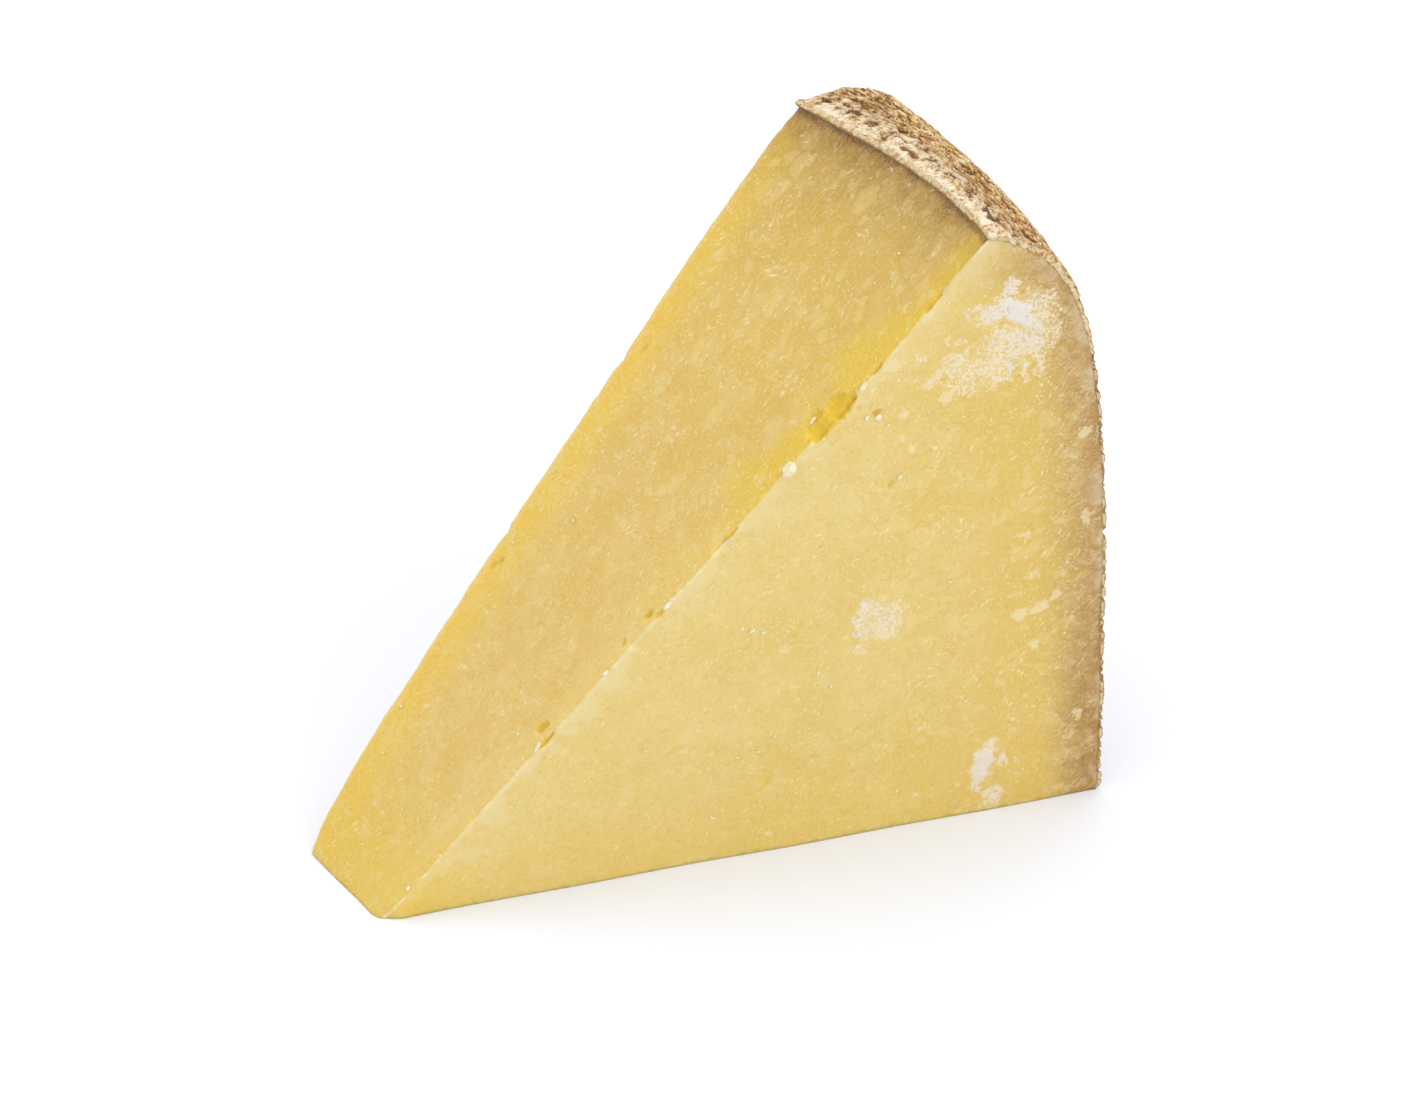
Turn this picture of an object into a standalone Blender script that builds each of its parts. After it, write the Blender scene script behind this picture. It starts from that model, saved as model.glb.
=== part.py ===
"""A wedge of firm pressed cheese, cut from a tall drum and left in one piece.

The drum is turned first: a flat top, a broad rounded shoulder and a nearly
upright wall, all with the uneven crust of a long cellar ripening.  Knife
blocks then free the wedge, as a cutter would: two upright radial cuts make
its long sides, and one slanting cut climbs from the thin tip to the drum's
top.  The level cut that it rests on is the drum sector's own flat foot.
Where the knife dragged, crumbs have torn out along the slanting cut's edges.

Frame: metres, +Z up.  The foot lies on z = 0, the thin tip points to -X, the
rind faces +X, and the origin is under the middle of the bounding box.
"""

import math

import bmesh
import bpy
from mathutils import Matrix, Vector, noise

# ---------------------------------------------------------------- sizes (m)
WHEEL_RADIUS = 0.200
WEDGE_ANGLE = math.radians(15.55)
HEIGHT = 0.1015

# The shoulder is a superellipse that leaves the wall low down and meets the
# flat top a little way in from the rim.
SHOULDER_START = 0.0196
SHOULDER_WIDTH = 0.0239
SHOULDER_POWER = 3.455

# Where the slanting cut meets the foot and the top, measured from the wheel's
# axis along each of the two radial cuts.
TIP_RADIUS_FRONT = 0.0842
TIP_RADIUS_BACK = 0.0827
TOP_RADIUS_FRONT = 0.1799
TOP_RADIUS_BACK = 0.1728

# The knife wandered: the slanting cut stays flat at the front edge and swells
# towards the back edge.
SLANT_SWELL_BACK = 0.0027
SLANT_SWELL_POWER = 0.4
SLANT_HOLLOW_FRONT = 0.0006
CUT_WAVE = 0.00022
CUT_WAVE_LENGTH = 0.034

# Crust relief, always inwards from the wheel's true outline.
CRUST_DENT = 0.0011
CRUST_DENT_RUN = 0.015
CRUST_CRACK = 0.0012
CRUST_CRACK_LENGTH = 0.016
CRUST_CRACK_WIDTH = 0.0042
TOP_CRUST_REACH = 0.018

# Mesh steps
CRUST_STEP = 0.0027
KNIFE_STEP = 0.0042
SECTOR_MARGIN = math.radians(1.6)
SECTOR_INNER_RADIUS = 0.060
KNIFE_THICKNESS = 0.024
SLANT_KNIFE_THICKNESS = 0.120

PASTE_COLOR = (0.78, 0.56, 0.20, 1.0)
PASTE_ROUGHNESS = 0.5

# Torn spots along the slanting cut: which edge, how far up it (0 tip, 1 top),
# how many crumbs went, then the length of a crumb along the edge, its width
# across the edge and its depth.
TORN_SPOTS = (
    ("ridge_tear_top", "front", 0.745, 3, 0.0062, 0.0044, 0.0016),
    ("ridge_tear_middle", "front", 0.435, 2, 0.0050, 0.0036, 0.0012),
    ("ridge_tear_low", "front", 0.278, 2, 0.0048, 0.0034, 0.0012),
    ("ridge_nick_high", "front", 0.905, 1, 0.0044, 0.0022, 0.0008),
    ("back_nick_high", "back", 0.664, 1, 0.0056, 0.0026, 0.0009),
    ("back_nick_low", "back", 0.424, 2, 0.0044, 0.0026, 0.0010),
)
CRUMB_OVERLAP = 0.62

# ------------------------------------------------------------ derived places
HALF_ANGLE = WEDGE_ANGLE / 2
SHOULDER_HEIGHT = HEIGHT - SHOULDER_START
FLAT_TOP_RADIUS = WHEEL_RADIUS - SHOULDER_WIDTH
TIP_X = min(TIP_RADIUS_FRONT, TIP_RADIUS_BACK) * math.cos(HALF_ANGLE)
RIND_X = WHEEL_RADIUS - CRUST_DENT / 2
AXIS_X = -(TIP_X + RIND_X) / 2


def clear_scene():
    """Remove whatever the file opened with."""
    for item in list(bpy.data.objects):
        bpy.data.objects.remove(item, do_unlink=True)


def collection(name):
    """A new collection in the scene."""
    group = bpy.data.collections.new(name)
    bpy.context.scene.collection.children.link(group)
    return group


def on_wheel(radius, angle, height):
    """A point by its distance from the wheel's axis, its turn and its height."""
    return Vector((AXIS_X + radius * math.cos(angle), radius * math.sin(angle), height))


def drum_outline():
    """The drum's half section as (radius, height), from the top down to the foot."""
    outline = [(SECTOR_INNER_RADIUS, HEIGHT)]
    top_inset = 0.016
    steps = round(top_inset / CRUST_STEP)
    for i in range(steps):
        outline.append((FLAT_TOP_RADIUS - top_inset * (1 - i / steps), HEIGHT))
    fine = 1500
    walked = CRUST_STEP
    last = None
    for i in range(fine + 1):
        turn = math.pi / 2 * (1 - i / fine)
        radius = FLAT_TOP_RADIUS + SHOULDER_WIDTH * math.cos(turn) ** (2 / SHOULDER_POWER)
        height = SHOULDER_START + SHOULDER_HEIGHT * math.sin(turn) ** (2 / SHOULDER_POWER)
        if last is not None:
            walked += math.dist(last, (radius, height))
        if walked >= CRUST_STEP:
            outline.append((radius, height))
            walked = 0.0
        last = (radius, height)
    wall_steps = round(SHOULDER_START / CRUST_STEP)
    for i in range(1, wall_steps + 1):
        outline.append((WHEEL_RADIUS, SHOULDER_START * (1 - i / wall_steps)))
    outline.append((SECTOR_INNER_RADIUS, 0.0))
    return outline


def crust_depth(angle, height, radius):
    """How deep the crust lies under the wheel's true outline at one place."""
    along = angle * WHEEL_RADIUS
    down = (HEIGHT - height) + (WHEEL_RADIUS - radius)
    dent = noise.noise(Vector((along / CRUST_DENT_RUN, down / CRUST_DENT_RUN, 3.7)))
    crack_place = Vector((along / CRUST_CRACK_LENGTH, down / CRUST_CRACK_WIDTH, 11.3))
    crack = max(0.0, noise.noise(crack_place))
    return CRUST_DENT * (0.5 + 0.5 * dent) + CRUST_CRACK * crack


def roughen_crust(mesh):
    """Sink the turned crust by its dents and cracks; the foot stays level."""
    for vert in mesh.verts:
        radius = math.hypot(vert.co.x, vert.co.y)
        if radius < FLAT_TOP_RADIUS - TOP_CRUST_REACH:
            continue
        angle = math.atan2(vert.co.y, vert.co.x)
        sink = crust_depth(angle, vert.co.z, radius)
        outward = Vector((math.cos(angle), math.sin(angle), 0.0))
        rise = max(0.0, (vert.co.z - SHOULDER_START) / SHOULDER_HEIGHT) ** SHOULDER_POWER
        normal = (outward * (1 - rise) + Vector((0, 0, rise))).normalized()
        vert.co -= normal * sink


def drum_sector(parts, name):
    """Turn a sector of the drum, a little wider than the wedge, and close its ends."""
    profile = bpy.data.meshes.new(name + "_profile")
    outline = drum_outline()
    corners = [(radius, 0.0, height) for radius, height in outline]
    edges = [(i, (i + 1) % len(corners)) for i in range(len(corners))]
    profile.from_pydata(corners, edges, [])
    turned = bpy.data.objects.new(name + "_turning", profile)
    parts.objects.link(turned)

    sweep = WEDGE_ANGLE + 2 * SECTOR_MARGIN
    screw = turned.modifiers.new("turn", "SCREW")
    screw.angle = sweep
    screw.steps = round(sweep * WHEEL_RADIUS / CRUST_STEP)
    screw.render_steps = screw.steps
    screw.merge_threshold = 0.00001
    bpy.context.view_layer.update()
    evaluated = turned.evaluated_get(bpy.context.evaluated_depsgraph_get())
    mesh = bpy.data.meshes.new_from_object(evaluated)
    bpy.data.objects.remove(turned, do_unlink=True)

    work = bmesh.new()
    work.from_mesh(mesh)
    bmesh.ops.rotate(work, verts=work.verts, matrix=Matrix.Rotation(-sweep / 2, 3, "Z"))
    open_ends = [edge for edge in work.edges if edge.is_boundary]
    bmesh.ops.holes_fill(work, edges=open_ends, sides=0)
    roughen_crust(work)
    bmesh.ops.translate(work, verts=work.verts, vec=(AXIS_X, 0, 0))
    bmesh.ops.recalc_face_normals(work, faces=work.faces)
    work.to_mesh(mesh)
    work.free()
    mesh.name = name
    sector = bpy.data.objects.new(name, mesh)
    parts.objects.link(sector)
    return sector


def wave(s, t):
    """The slight waviness that a blade leaves, for two distances along the cut."""
    first = math.sin(2 * math.pi * (s + 0.3 * t) / CUT_WAVE_LENGTH)
    second = math.sin(2 * math.pi * (t - 0.4 * s) / (CUT_WAVE_LENGTH * 1.37) + 1.1)
    return CUT_WAVE * 0.5 * (first + second)


def radial_cut(side):
    """The surface of an upright cut: side -1 is the front one and +1 the back one."""
    low = SECTOR_INNER_RADIUS - 0.012
    reach = WHEEL_RADIUS + 0.012 - low
    rise = HEIGHT + 0.024

    def surface(s, t):
        radius = low + reach * s
        height = rise * t - 0.012
        place = on_wheel(radius, side * HALF_ANGLE, height)
        outward = Vector((-math.sin(HALF_ANGLE), side * math.cos(HALF_ANGLE), 0))
        return place + outward * wave(radius, height + 0.02 * side)

    outward = Vector((-math.sin(HALF_ANGLE), side * math.cos(HALF_ANGLE), 0))
    return surface, outward, (reach, rise)


def slant_corners():
    """The slanting cut's corners: tip front, tip back, top front, top back."""
    return (
        on_wheel(TIP_RADIUS_FRONT, -HALF_ANGLE, 0.0),
        on_wheel(TIP_RADIUS_BACK, HALF_ANGLE, 0.0),
        on_wheel(TOP_RADIUS_FRONT, -HALF_ANGLE, HEIGHT),
        on_wheel(TOP_RADIUS_BACK, HALF_ANGLE, HEIGHT),
    )


def slant_point(rise, across):
    """A point of the slanting cut: rise 0 tip to 1 top, across 0 front to 1 back."""
    tip_front, tip_back, top_front, top_back = slant_corners()
    outward = (tip_back - tip_front).cross(top_front - tip_front).normalized()
    if outward.z < 0:
        outward.negate()
    low = tip_front.lerp(tip_back, across)
    high = top_front.lerp(top_back, across)
    arch = math.sin(math.pi * min(1.0, max(0.0, rise)))
    swell = SLANT_SWELL_BACK * across ** 2 * arch ** SLANT_SWELL_POWER
    hollow = SLANT_HOLLOW_FRONT * (1 - across) * arch
    return low.lerp(high, rise) + outward * (swell - hollow), outward


def slanting_cut():
    """The surface of the slanting cut, reaching past the wedge on every side."""
    tip_front, tip_back, top_front, top_back = slant_corners()
    reach = 1.5 * (top_front - tip_front).length
    span = 2.2 * (top_back - top_front).length

    def surface(s, t):
        rise = 1.5 * s - 0.25
        across = 2.2 * t - 0.6
        place, outward = slant_point(rise, min(1.25, max(-0.25, across)))
        past = across - min(1.25, max(-0.25, across))
        place += (top_back - top_front) * past
        return place + outward * wave(reach * s, span * t)

    return surface, slant_point(0.5, 0.5)[1], (reach, span)


def knife(cutters, name, cut, thickness):
    """A closed block whose working face follows a cut and whose body lies outside it."""
    surface, outward, (length, width) = cut
    work = bmesh.new()
    bmesh.ops.create_grid(
        work,
        x_segments=round(length / KNIFE_STEP),
        y_segments=round(width / KNIFE_STEP),
        size=0.5,
    )
    for vert in work.verts:
        vert.co = surface(vert.co.x + 0.5, vert.co.y + 0.5)
    skin = bmesh.ops.extrude_face_region(work, geom=work.faces[:])
    moved = [item for item in skin["geom"] if isinstance(item, bmesh.types.BMVert)]
    bmesh.ops.translate(work, verts=moved, vec=outward * thickness)
    bmesh.ops.recalc_face_normals(work, faces=work.faces)
    return add_cutter(cutters, name, work)


def torn_crumb(cutters, name, edge, rise, length, width, depth):
    """One lumpy hollow astride an edge of the slanting cut, its long axis uphill."""
    across = 0.0 if edge == "front" else 1.0
    place, outward = slant_point(rise, across)
    uphill = (slant_point(rise + 0.01, across)[0] - place).normalized()
    sideways = outward.cross(uphill).normalized()
    to_middle = sideways.dot(slant_point(rise, 0.5)[0] - place)
    place += sideways * math.copysign(width * 0.22, to_middle)
    work = bmesh.new()
    bmesh.ops.create_icosphere(work, subdivisions=2, radius=1.0)
    for vert in work.verts:
        lump = 1 + 0.3 * noise.noise(vert.co * 1.7 + Vector((rise * 40, 0, 0)))
        ball = vert.co * lump
        along = uphill * (ball.x * length / 2)
        over = sideways * (ball.y * width / 2)
        vert.co = place + along + over + outward * (ball.z * depth)
    return add_cutter(cutters, name, work)


def torn_spot(cutters, name, edge, rise, crumbs, length, width, depth):
    """The hollows of one torn spot: neighbouring crumbs, smaller towards its ends."""
    edge_length = (slant_point(1.0, 0.0)[0] - slant_point(0.0, 0.0)[0]).length
    hollows = []
    for i in range(crumbs):
        place = i - (crumbs - 1) / 2
        shrink = 1 / (1 + 0.25 * abs(place))
        crumb_rise = rise + place * CRUMB_OVERLAP * length / edge_length
        size = (length * shrink, width * shrink, depth * shrink)
        hollows.append(torn_crumb(cutters, f"{name}_{i + 1}", edge, crumb_rise, *size))
    return hollows


def add_cutter(cutters, name, work):
    """Store a finished cutter as an object that is never shown."""
    mesh = bpy.data.meshes.new(name)
    work.to_mesh(mesh)
    work.free()
    cutter = bpy.data.objects.new(name, mesh)
    cutter.hide_render = True
    cutter.display_type = "WIRE"
    cutters.objects.link(cutter)
    return cutter


def cut_away(target, cutter):
    """Take a cutter's volume out of the target."""
    cut = target.modifiers.new(cutter.name, "BOOLEAN")
    cut.operation = "DIFFERENCE"
    cut.solver = "EXACT"
    cut.object = cutter


def paste_material():
    """Pale golden cheese paste."""
    material = bpy.data.materials.new("cheese_paste")
    material.use_nodes = True
    shader = material.node_tree.nodes["Principled BSDF"]
    shader.inputs["Base Color"].default_value = PASTE_COLOR
    shader.inputs["Roughness"].default_value = PASTE_ROUGHNESS
    shader.inputs["Metallic"].default_value = 0.0
    return material


def main():
    clear_scene()
    parts = collection("cheese_wedge_parts")
    cutters = collection("cheese_wedge_cutters")
    wedge = drum_sector(parts, "cheese_wedge")
    cut_away(wedge, knife(cutters, "front_knife", radial_cut(-1), KNIFE_THICKNESS))
    cut_away(wedge, knife(cutters, "back_knife", radial_cut(1), KNIFE_THICKNESS))
    cut_away(wedge, knife(cutters, "slant_knife", slanting_cut(), SLANT_KNIFE_THICKNESS))
    for spot in TORN_SPOTS:
        for hollow in torn_spot(cutters, *spot):
            cut_away(wedge, hollow)
    wedge.data.materials.clear()
    wedge.data.materials.append(paste_material())


main()
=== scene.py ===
import math

import bpy
import numpy as np
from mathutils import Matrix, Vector, noise
from mathutils.bvhtree import BVHTree
from mathutils.geometry import delaunay_2d_cdt
from mathutils.kdtree import KDTree


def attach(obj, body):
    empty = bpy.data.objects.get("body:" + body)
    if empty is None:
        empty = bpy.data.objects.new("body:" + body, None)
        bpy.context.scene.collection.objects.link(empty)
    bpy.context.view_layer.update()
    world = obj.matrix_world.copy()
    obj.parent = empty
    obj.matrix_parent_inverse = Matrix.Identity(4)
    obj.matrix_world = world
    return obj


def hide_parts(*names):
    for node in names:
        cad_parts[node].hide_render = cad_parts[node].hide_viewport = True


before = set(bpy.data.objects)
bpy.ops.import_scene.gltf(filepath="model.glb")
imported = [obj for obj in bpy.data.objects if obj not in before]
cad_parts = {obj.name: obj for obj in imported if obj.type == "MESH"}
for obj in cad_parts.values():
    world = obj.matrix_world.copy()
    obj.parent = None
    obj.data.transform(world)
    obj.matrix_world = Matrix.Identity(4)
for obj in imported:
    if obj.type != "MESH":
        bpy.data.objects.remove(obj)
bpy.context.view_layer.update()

# The looks of one wedge of firm pressed cheese.  Shapes are worked out in
# millimetres and become metres when a mesh is stored.
MM = 0.001

# ---- the wedge, as in CAD
WHEEL_RADIUS = 200.0
HALF_ANGLE = math.radians(15.55) / 2
HEIGHT = 101.5
SHOULDER_START = 19.6
SHOULDER_WIDTH = 23.9
SHOULDER_POWER = 3.455
TIP_RADIUS_FRONT = 84.2
TIP_RADIUS_BACK = 82.7
TOP_RADIUS_FRONT = 179.9
TOP_RADIUS_BACK = 172.8
SLANT_SWELL_BACK = 2.7
SLANT_SWELL_POWER = 0.4
SLANT_HOLLOW_FRONT = 0.6
CUT_WAVE = 0.22
CUT_WAVE_LENGTH = 34.0
CRUST_DENT = 1.1
CRUST_DENT_RUN = 15.0
CRUST_CRACK = 1.2
CRUST_CRACK_LENGTH = 16.0
CRUST_CRACK_WIDTH = 4.2

# Rough widths, used only to space the points.
TIP_WIDTH = 23
RIND_WIDTH = 54

SHOULDER_HEIGHT = HEIGHT - SHOULDER_START
FLAT_TOP_RADIUS = WHEEL_RADIUS - SHOULDER_WIDTH
TIP_X = min(TIP_RADIUS_FRONT, TIP_RADIUS_BACK) * math.cos(HALF_ANGLE)
AXIS_X = -(TIP_X + WHEEL_RADIUS - CRUST_DENT / 2) / 2
AXIS = np.array([AXIS_X, 0.0, 0.0])

# ---- the crust
RIND_THICKNESS = 1.7
LIP_THICKNESS = 0.85
LIP_CORNER = 0.4
LIFT_FRONT = 0.9
LIFT_BACK = 1.3
LIFT_MIDDLE = 2.2
LIFT_DEPTH = 8.0
CUT_THICKNESS = 0.78
SHOULDER_EXTRA = 0.85
RIND_STEP_ACROSS = 0.27
RIND_STEP_TOP = 0.25
RIND_STEP_SIDE = 0.37
FINE_CRUST = 44.0
RIM_ROWS = 5
INSIDE_BORDER = 1.5
RIND_SEED = 60
LIP_SLOPE = 1.37
LIP_PROUD = 0.3
LIP_COVER = 0.6
LIP_SUNK = 0.7
CUT_PROUD = 0.06
CUT_SUNK = 0.34
HOLLOW_DEPTH = 0.6
CHIP_DEPTH = 0.15
JAG_LENGTH = 1.1
CLEAR_OF_FLOOR = 0.02
DENT_SHOWN = 0.25
FOOT_ROUND = 0.8

# ---- the paste
PASTE_INSET = 0.74
EDGE_STEP = 0.3
CRUST_EDGE_STEP = 0.4
FINE_STEP = 0.34
FACE_STEP = 0.54
BACK_STEP = 0.8
HIDDEN_STEP = 1.9
FOOT_EDGE_STEP = 0.7
FOOT_CRUST_STEP = 1.0
BACK_EDGE_STEP = 1.4 * EDGE_STEP
MIDDLE_STEP = 0.42
SPOT_STEP = 0.36
COARSER_FROM_RIDGE = 0.05
COARSER_FROM_CRUST = 0.09
PATCH_SEED = 100
LOBE_OUTSIDE = 1.3
LOBE_INSIDE = 0.5
TORN_FULLY = 0.5
RIDGE_PART = 0.055
FRONT, SLANT, BACK, FOOT, OUTER = range(5)

# White mould on the front cut: distance from the wheel's axis, height, the two
# half widths, their turn in degrees, and how thickly it grows there.
MOULD_LOBES = (
    (183.6, 93.1, 1.3, 1.3, 0, 1.05),
    (183.2, 91.6, 1.3, 1.3, 0, 1.0),
    (185.0, 88.2, 4.6, 1.7, -51, 1.35),
    (181.6, 89.3, 2.6, 2.0, 0, 0.82),
    (188.0, 88.3, 3.4, 3.8, 0, 0.56),
    (184.0, 82.8, 5.2, 4.0, 0, 0.66),
    (187.4, 83.2, 2.0, 2.8, 0, 0.86),
    (183.9, 78.3, 0.8, 2.2, 10, 0.84),
    (186.1, 77.9, 0.8, 2.2, 8, 0.84),
    (188.5, 78.9, 0.8, 2.4, 0, 0.72),
    (182.4, 76.9, 0.8, 0.8, 0, 0.74),
    (178.6, 90.1, 1.7, 0.8, 20, 0.6),
    (177.2, 88.6, 0.6, 1.2, 0, 0.7),
    (179.8, 87.6, 1.8, 1.3, 0, 0.78),
    (190.2, 84.0, 1.8, 4.6, -8, 0.5),
    (174.4, 82.0, 1.7, 1.2, 20, 0.64),
    (176.4, 81.6, 1.1, 0.9, 0, 0.58),
    (172.8, 79.4, 2.3, 1.5, 25, 0.52),
    (177.1, 79.2, 3.6, 4.4, 0, 0.44),
    (180.9, 78.6, 2.8, 3.8, 0, 0.44),
    (169.5, 82.7, 1.2, 1.1, 0, 0.6),
    (176.0, 84.6, 0.7, 0.9, 30, 0.66),
    (174.0, 85.2, 0.5, 1.0, 20, 0.6),
    (161.0, 40.8, 1.2, 1.2, 0, 0.94),
    (160.0, 38.5, 1.2, 1.2, 0, 0.94),
    (160.4, 36.2, 1.1, 1.1, 0, 0.9),
    (163.0, 38.3, 3.4, 3.8, 0, 0.64),
    (162.2, 41.7, 0.8, 0.9, 0, 0.8),
    (165.7, 38.6, 1.9, 2.4, 0, 0.54),
    (165.0, 35.7, 1.6, 1.6, 0, 0.52),
    (160.9, 33.8, 1.1, 1.2, 0, 0.5),
    (180.4, 8.7, 4.6, 1.9, 70, 1.0),
    (179.3, 5.2, 1.0, 1.5, 0, 0.9),
    (183.4, 8.1, 0.8, 2.6, -10, 0.86),
    (182.0, 3.1, 2.0, 2.0, 0, 0.74),
    (181.6, 0.9, 1.8, 1.0, 0, 0.6),
)
MOULD_GAPS = (
    (182.7, 7.2, 1.1, 1.3, 0, 0.9),
    (180.6, 3.9, 1.2, 0.5, 20, 0.7),
    (182.3, 87.0, 0.5, 0.9, 0, 0.5),
)

# Paler curd that shows in the front cut, given like the mould.
PALE_LOBES = (
    (173.8, 75.3, 1.3, 1.2, 30, 1.0),
    (164.9, 82.5, 1.3, 1.1, 0, 0.9),
    (167.2, 73.9, 0.8, 0.8, 0, 0.8),
    (166.9, 69.7, 0.7, 0.7, 0, 0.8),
    (168.5, 67.5, 1.0, 0.9, 30, 0.8),
    (171.0, 78.4, 1.2, 0.9, 20, 0.7),
    (172.0, 67.0, 0.8, 0.6, 40, 0.6),
    (186.1, 34.4, 1.5, 1.2, 40, 0.9),
    (189.2, 35.0, 2.0, 1.0, 30, 0.7),
    (191.6, 36.6, 1.3, 0.9, 60, 0.8),
    (188.0, 41.0, 1.8, 1.1, 30, 0.5),
    (186.8, 48.7, 1.3, 0.9, 0, 0.6),
    (188.5, 28.6, 1.2, 0.9, 10, 0.6),
    (170.4, 90.3, 1.0, 2.0, -45, 0.7),
    (148.5, 36.0, 1.6, 1.0, 20, 0.5),
    (196.0, 65.2, 1.3, 0.9, 30, 0.9),
    (196.4, 50.0, 0.8, 2.2, 10, 0.6),
    (195.8, 14.5, 0.9, 1.4, 10, 0.6),
)

# Torn spots: the face, the place on it (rise and across on the slanting cut,
# radius and height on the front one), then the hollow's length, width and
# depth in mm, its turn from the uphill or outward direction in degrees, and
# how many crumbs left it.
HOLLOWS = (
    ("slant", 0.741, 0.012, 9.0, 4.0, 1.5, 12, 6),
    ("slant", 0.760, -0.012, 5.4, 3.8, 1.6, 8, 3),
    ("slant", 0.728, 0.050, 4.2, 2.4, 0.8, 25, 2),
    ("slant", 0.452, 0.034, 2.0, 1.5, 0.8, 0, 1),
    ("slant", 0.460, -0.010, 2.2, 1.5, 0.9, 10, 1),
    ("slant", 0.434, -0.030, 3.0, 1.8, 0.8, -20, 2),
    ("slant", 0.411, 0.040, 1.8, 1.2, 0.6, 30, 1),
    ("slant", 0.282, 0.075, 2.4, 1.8, 0.8, 0, 2),
    ("slant", 0.274, -0.015, 3.2, 2.0, 0.9, 15, 2),
    ("slant", 0.905, 0.000, 3.6, 1.2, 0.5, 0, 2),
    ("slant", 0.812, -0.010, 2.8, 0.7, 0.6, 5, 1),
    ("slant", 0.575, 0.010, 3.4, 1.2, 0.5, 0, 2),
    ("slant", 0.680, 0.936, 2.6, 1.3, 0.5, 0, 1),
    ("slant", 0.652, 1.000, 3.0, 1.6, 0.7, 0, 2),
    ("slant", 0.420, 1.000, 3.0, 1.8, 0.8, 0, 2),
    ("slant", 0.394, 0.915, 1.6, 1.1, 0.5, 0, 1),
    ("slant", 0.386, 0.943, 1.6, 1.0, 0.5, 0, 1),
    ("front", 137.0, 57.1, 1.0, 0.8, 0.4, 0, 1),
    ("front", 145.8, 12.5, 2.4, 1.2, 0.4, 60, 1),
    ("front", 155.0, 25.6, 1.6, 0.9, 0.4, 60, 1),
    ("front", 165.2, 61.7, 2.2, 0.7, 0.5, 60, 1),
    ("front", 162.7, 74.9, 1.8, 1.2, 0.5, 20, 1),
    ("front", 159.8, 76.2, 1.0, 0.8, 0.3, 0, 1),
)

# Pale pieces of curd that lie on a face or stand out of it: the face and place
# as above, then length, width, thickness, turn in degrees, and how white.
FLAKES = (
    ("slant", 0.673, -0.030, 3.2, 2.5, 0.7, 20, 0.8),
    ("slant", 0.791, -0.010, 1.9, 1.2, 0.3, 0, 0.7),
    ("slant", 0.731, 0.062, 1.7, 0.6, 0.3, 10, 0.9),
    ("slant", 0.472, -0.012, 1.7, 0.8, 0.3, 0, 0.9),
    ("slant", 0.372, 0.000, 1.5, 0.7, 0.25, 0, 0.8),
    ("slant", 0.262, 0.000, 2.2, 0.8, 0.25, 20, 0.7),
    ("front", 163.0, 74.1, 1.5, 1.4, 0.35, 10, 0.8),
    ("front", 161.2, 74.4, 1.1, 0.6, 0.3, 60, 1.0),
    ("front", 164.6, 72.5, 0.6, 0.5, 0.3, 0, 1.0),
    ("front", 166.6, 63.0, 1.1, 0.6, 0.3, 50, 0.9),
    ("front", 175.5, 50.6, 0.7, 0.4, 0.2, 0, 0.9),
    ("front", 177.4, 51.1, 0.6, 0.4, 0.2, 0, 0.9),
    ("front", 155.9, 27.7, 0.9, 0.5, 0.2, 50, 0.9),
    ("front", 143.3, 40.4, 1.1, 0.6, 0.25, 40, 0.9),
    ("front", 141.7, 41.1, 0.8, 0.5, 0.2, 20, 0.8),
    ("front", 145.1, 39.7, 0.9, 0.7, 0.2, 60, 0.8),
    ("slant", 0.050, 0.012, 0.9, 0.5, 0.25, 0, 0.9),
    ("slant", 0.100, 0.000, 0.7, 0.4, 0.2, 30, 0.9),
)
STRAY_FLAKES = 160
STRAY_SIZE = 0.18
STRAY_GROWTH = 0.45
STRAY_HEIGHT = 0.35

# Larger torn pits of the crust: along the wheel's turn from the middle of the
# wedge, distance in from the lip, half length, half width and depth in mm.
CRUST_PITS = (
    (9.2, 6.0, 1.9, 1.5, 1.0),
    (21.5, 3.8, 1.6, 0.45, 0.8),
    (18.2, 3.3, 1.5, 0.8, 0.7),
    (13.4, 3.6, 1.3, 0.6, 0.7),
    (25.3, 2.7, 1.6, 0.5, 0.9),
    (0.9, 1.7, 1.2, 0.45, 0.6),
    (-5.2, 6.1, 0.6, 0.5, 0.6),
    (-9.4, 6.9, 1.9, 0.7, 0.7),
    (-17.6, 4.4, 1.3, 0.7, 0.7),
    (-22.0, 2.6, 2.6, 1.1, 0.7),
    (-24.6, 8.5, 2.2, 1.0, 1.0),
    (-5.7, 14.2, 2.4, 0.7, 0.9),
    (-1.6, 11.5, 2.2, 0.6, 0.8),
    (-12.5, 12.0, 2.0, 0.5, 0.8),
)


# ---- noise
CELL_FACTORS = np.array((73856093, 19349663, 83492791), np.uint32)
SEED_FACTOR = 2654435761
SCRAMBLING = ((16, 0x7FEB352D), (15, 0x846CA68B), (16, 1))
NOISE_GAIN = 1.6
OCTAVE_STEP = 2.03
LINE_PLACE = 0.37
FAR = 9.0


def scramble(cells, seed):
    """Three repeatable numbers in 0..1 for each row of whole-number cells."""
    mixed = cells.astype(np.int64).astype(np.uint32) * CELL_FACTORS
    value = np.bitwise_xor.reduce(mixed, axis=1) ^ np.uint32(seed * SEED_FACTOR % 2**32)
    numbers = []
    for _ in range(3):
        for shift, factor in SCRAMBLING:
            value ^= value >> np.uint32(shift)
            value *= np.uint32(factor)
        numbers.append(value / 2.0**32)
    return np.stack(numbers, axis=1)


def spatial(points):
    """Points with a third coordinate, zero where they are flat."""
    points = np.asarray(points, float)
    if points.shape[1] == 2:
        return np.c_[points, np.zeros(len(points))]
    return points


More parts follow.
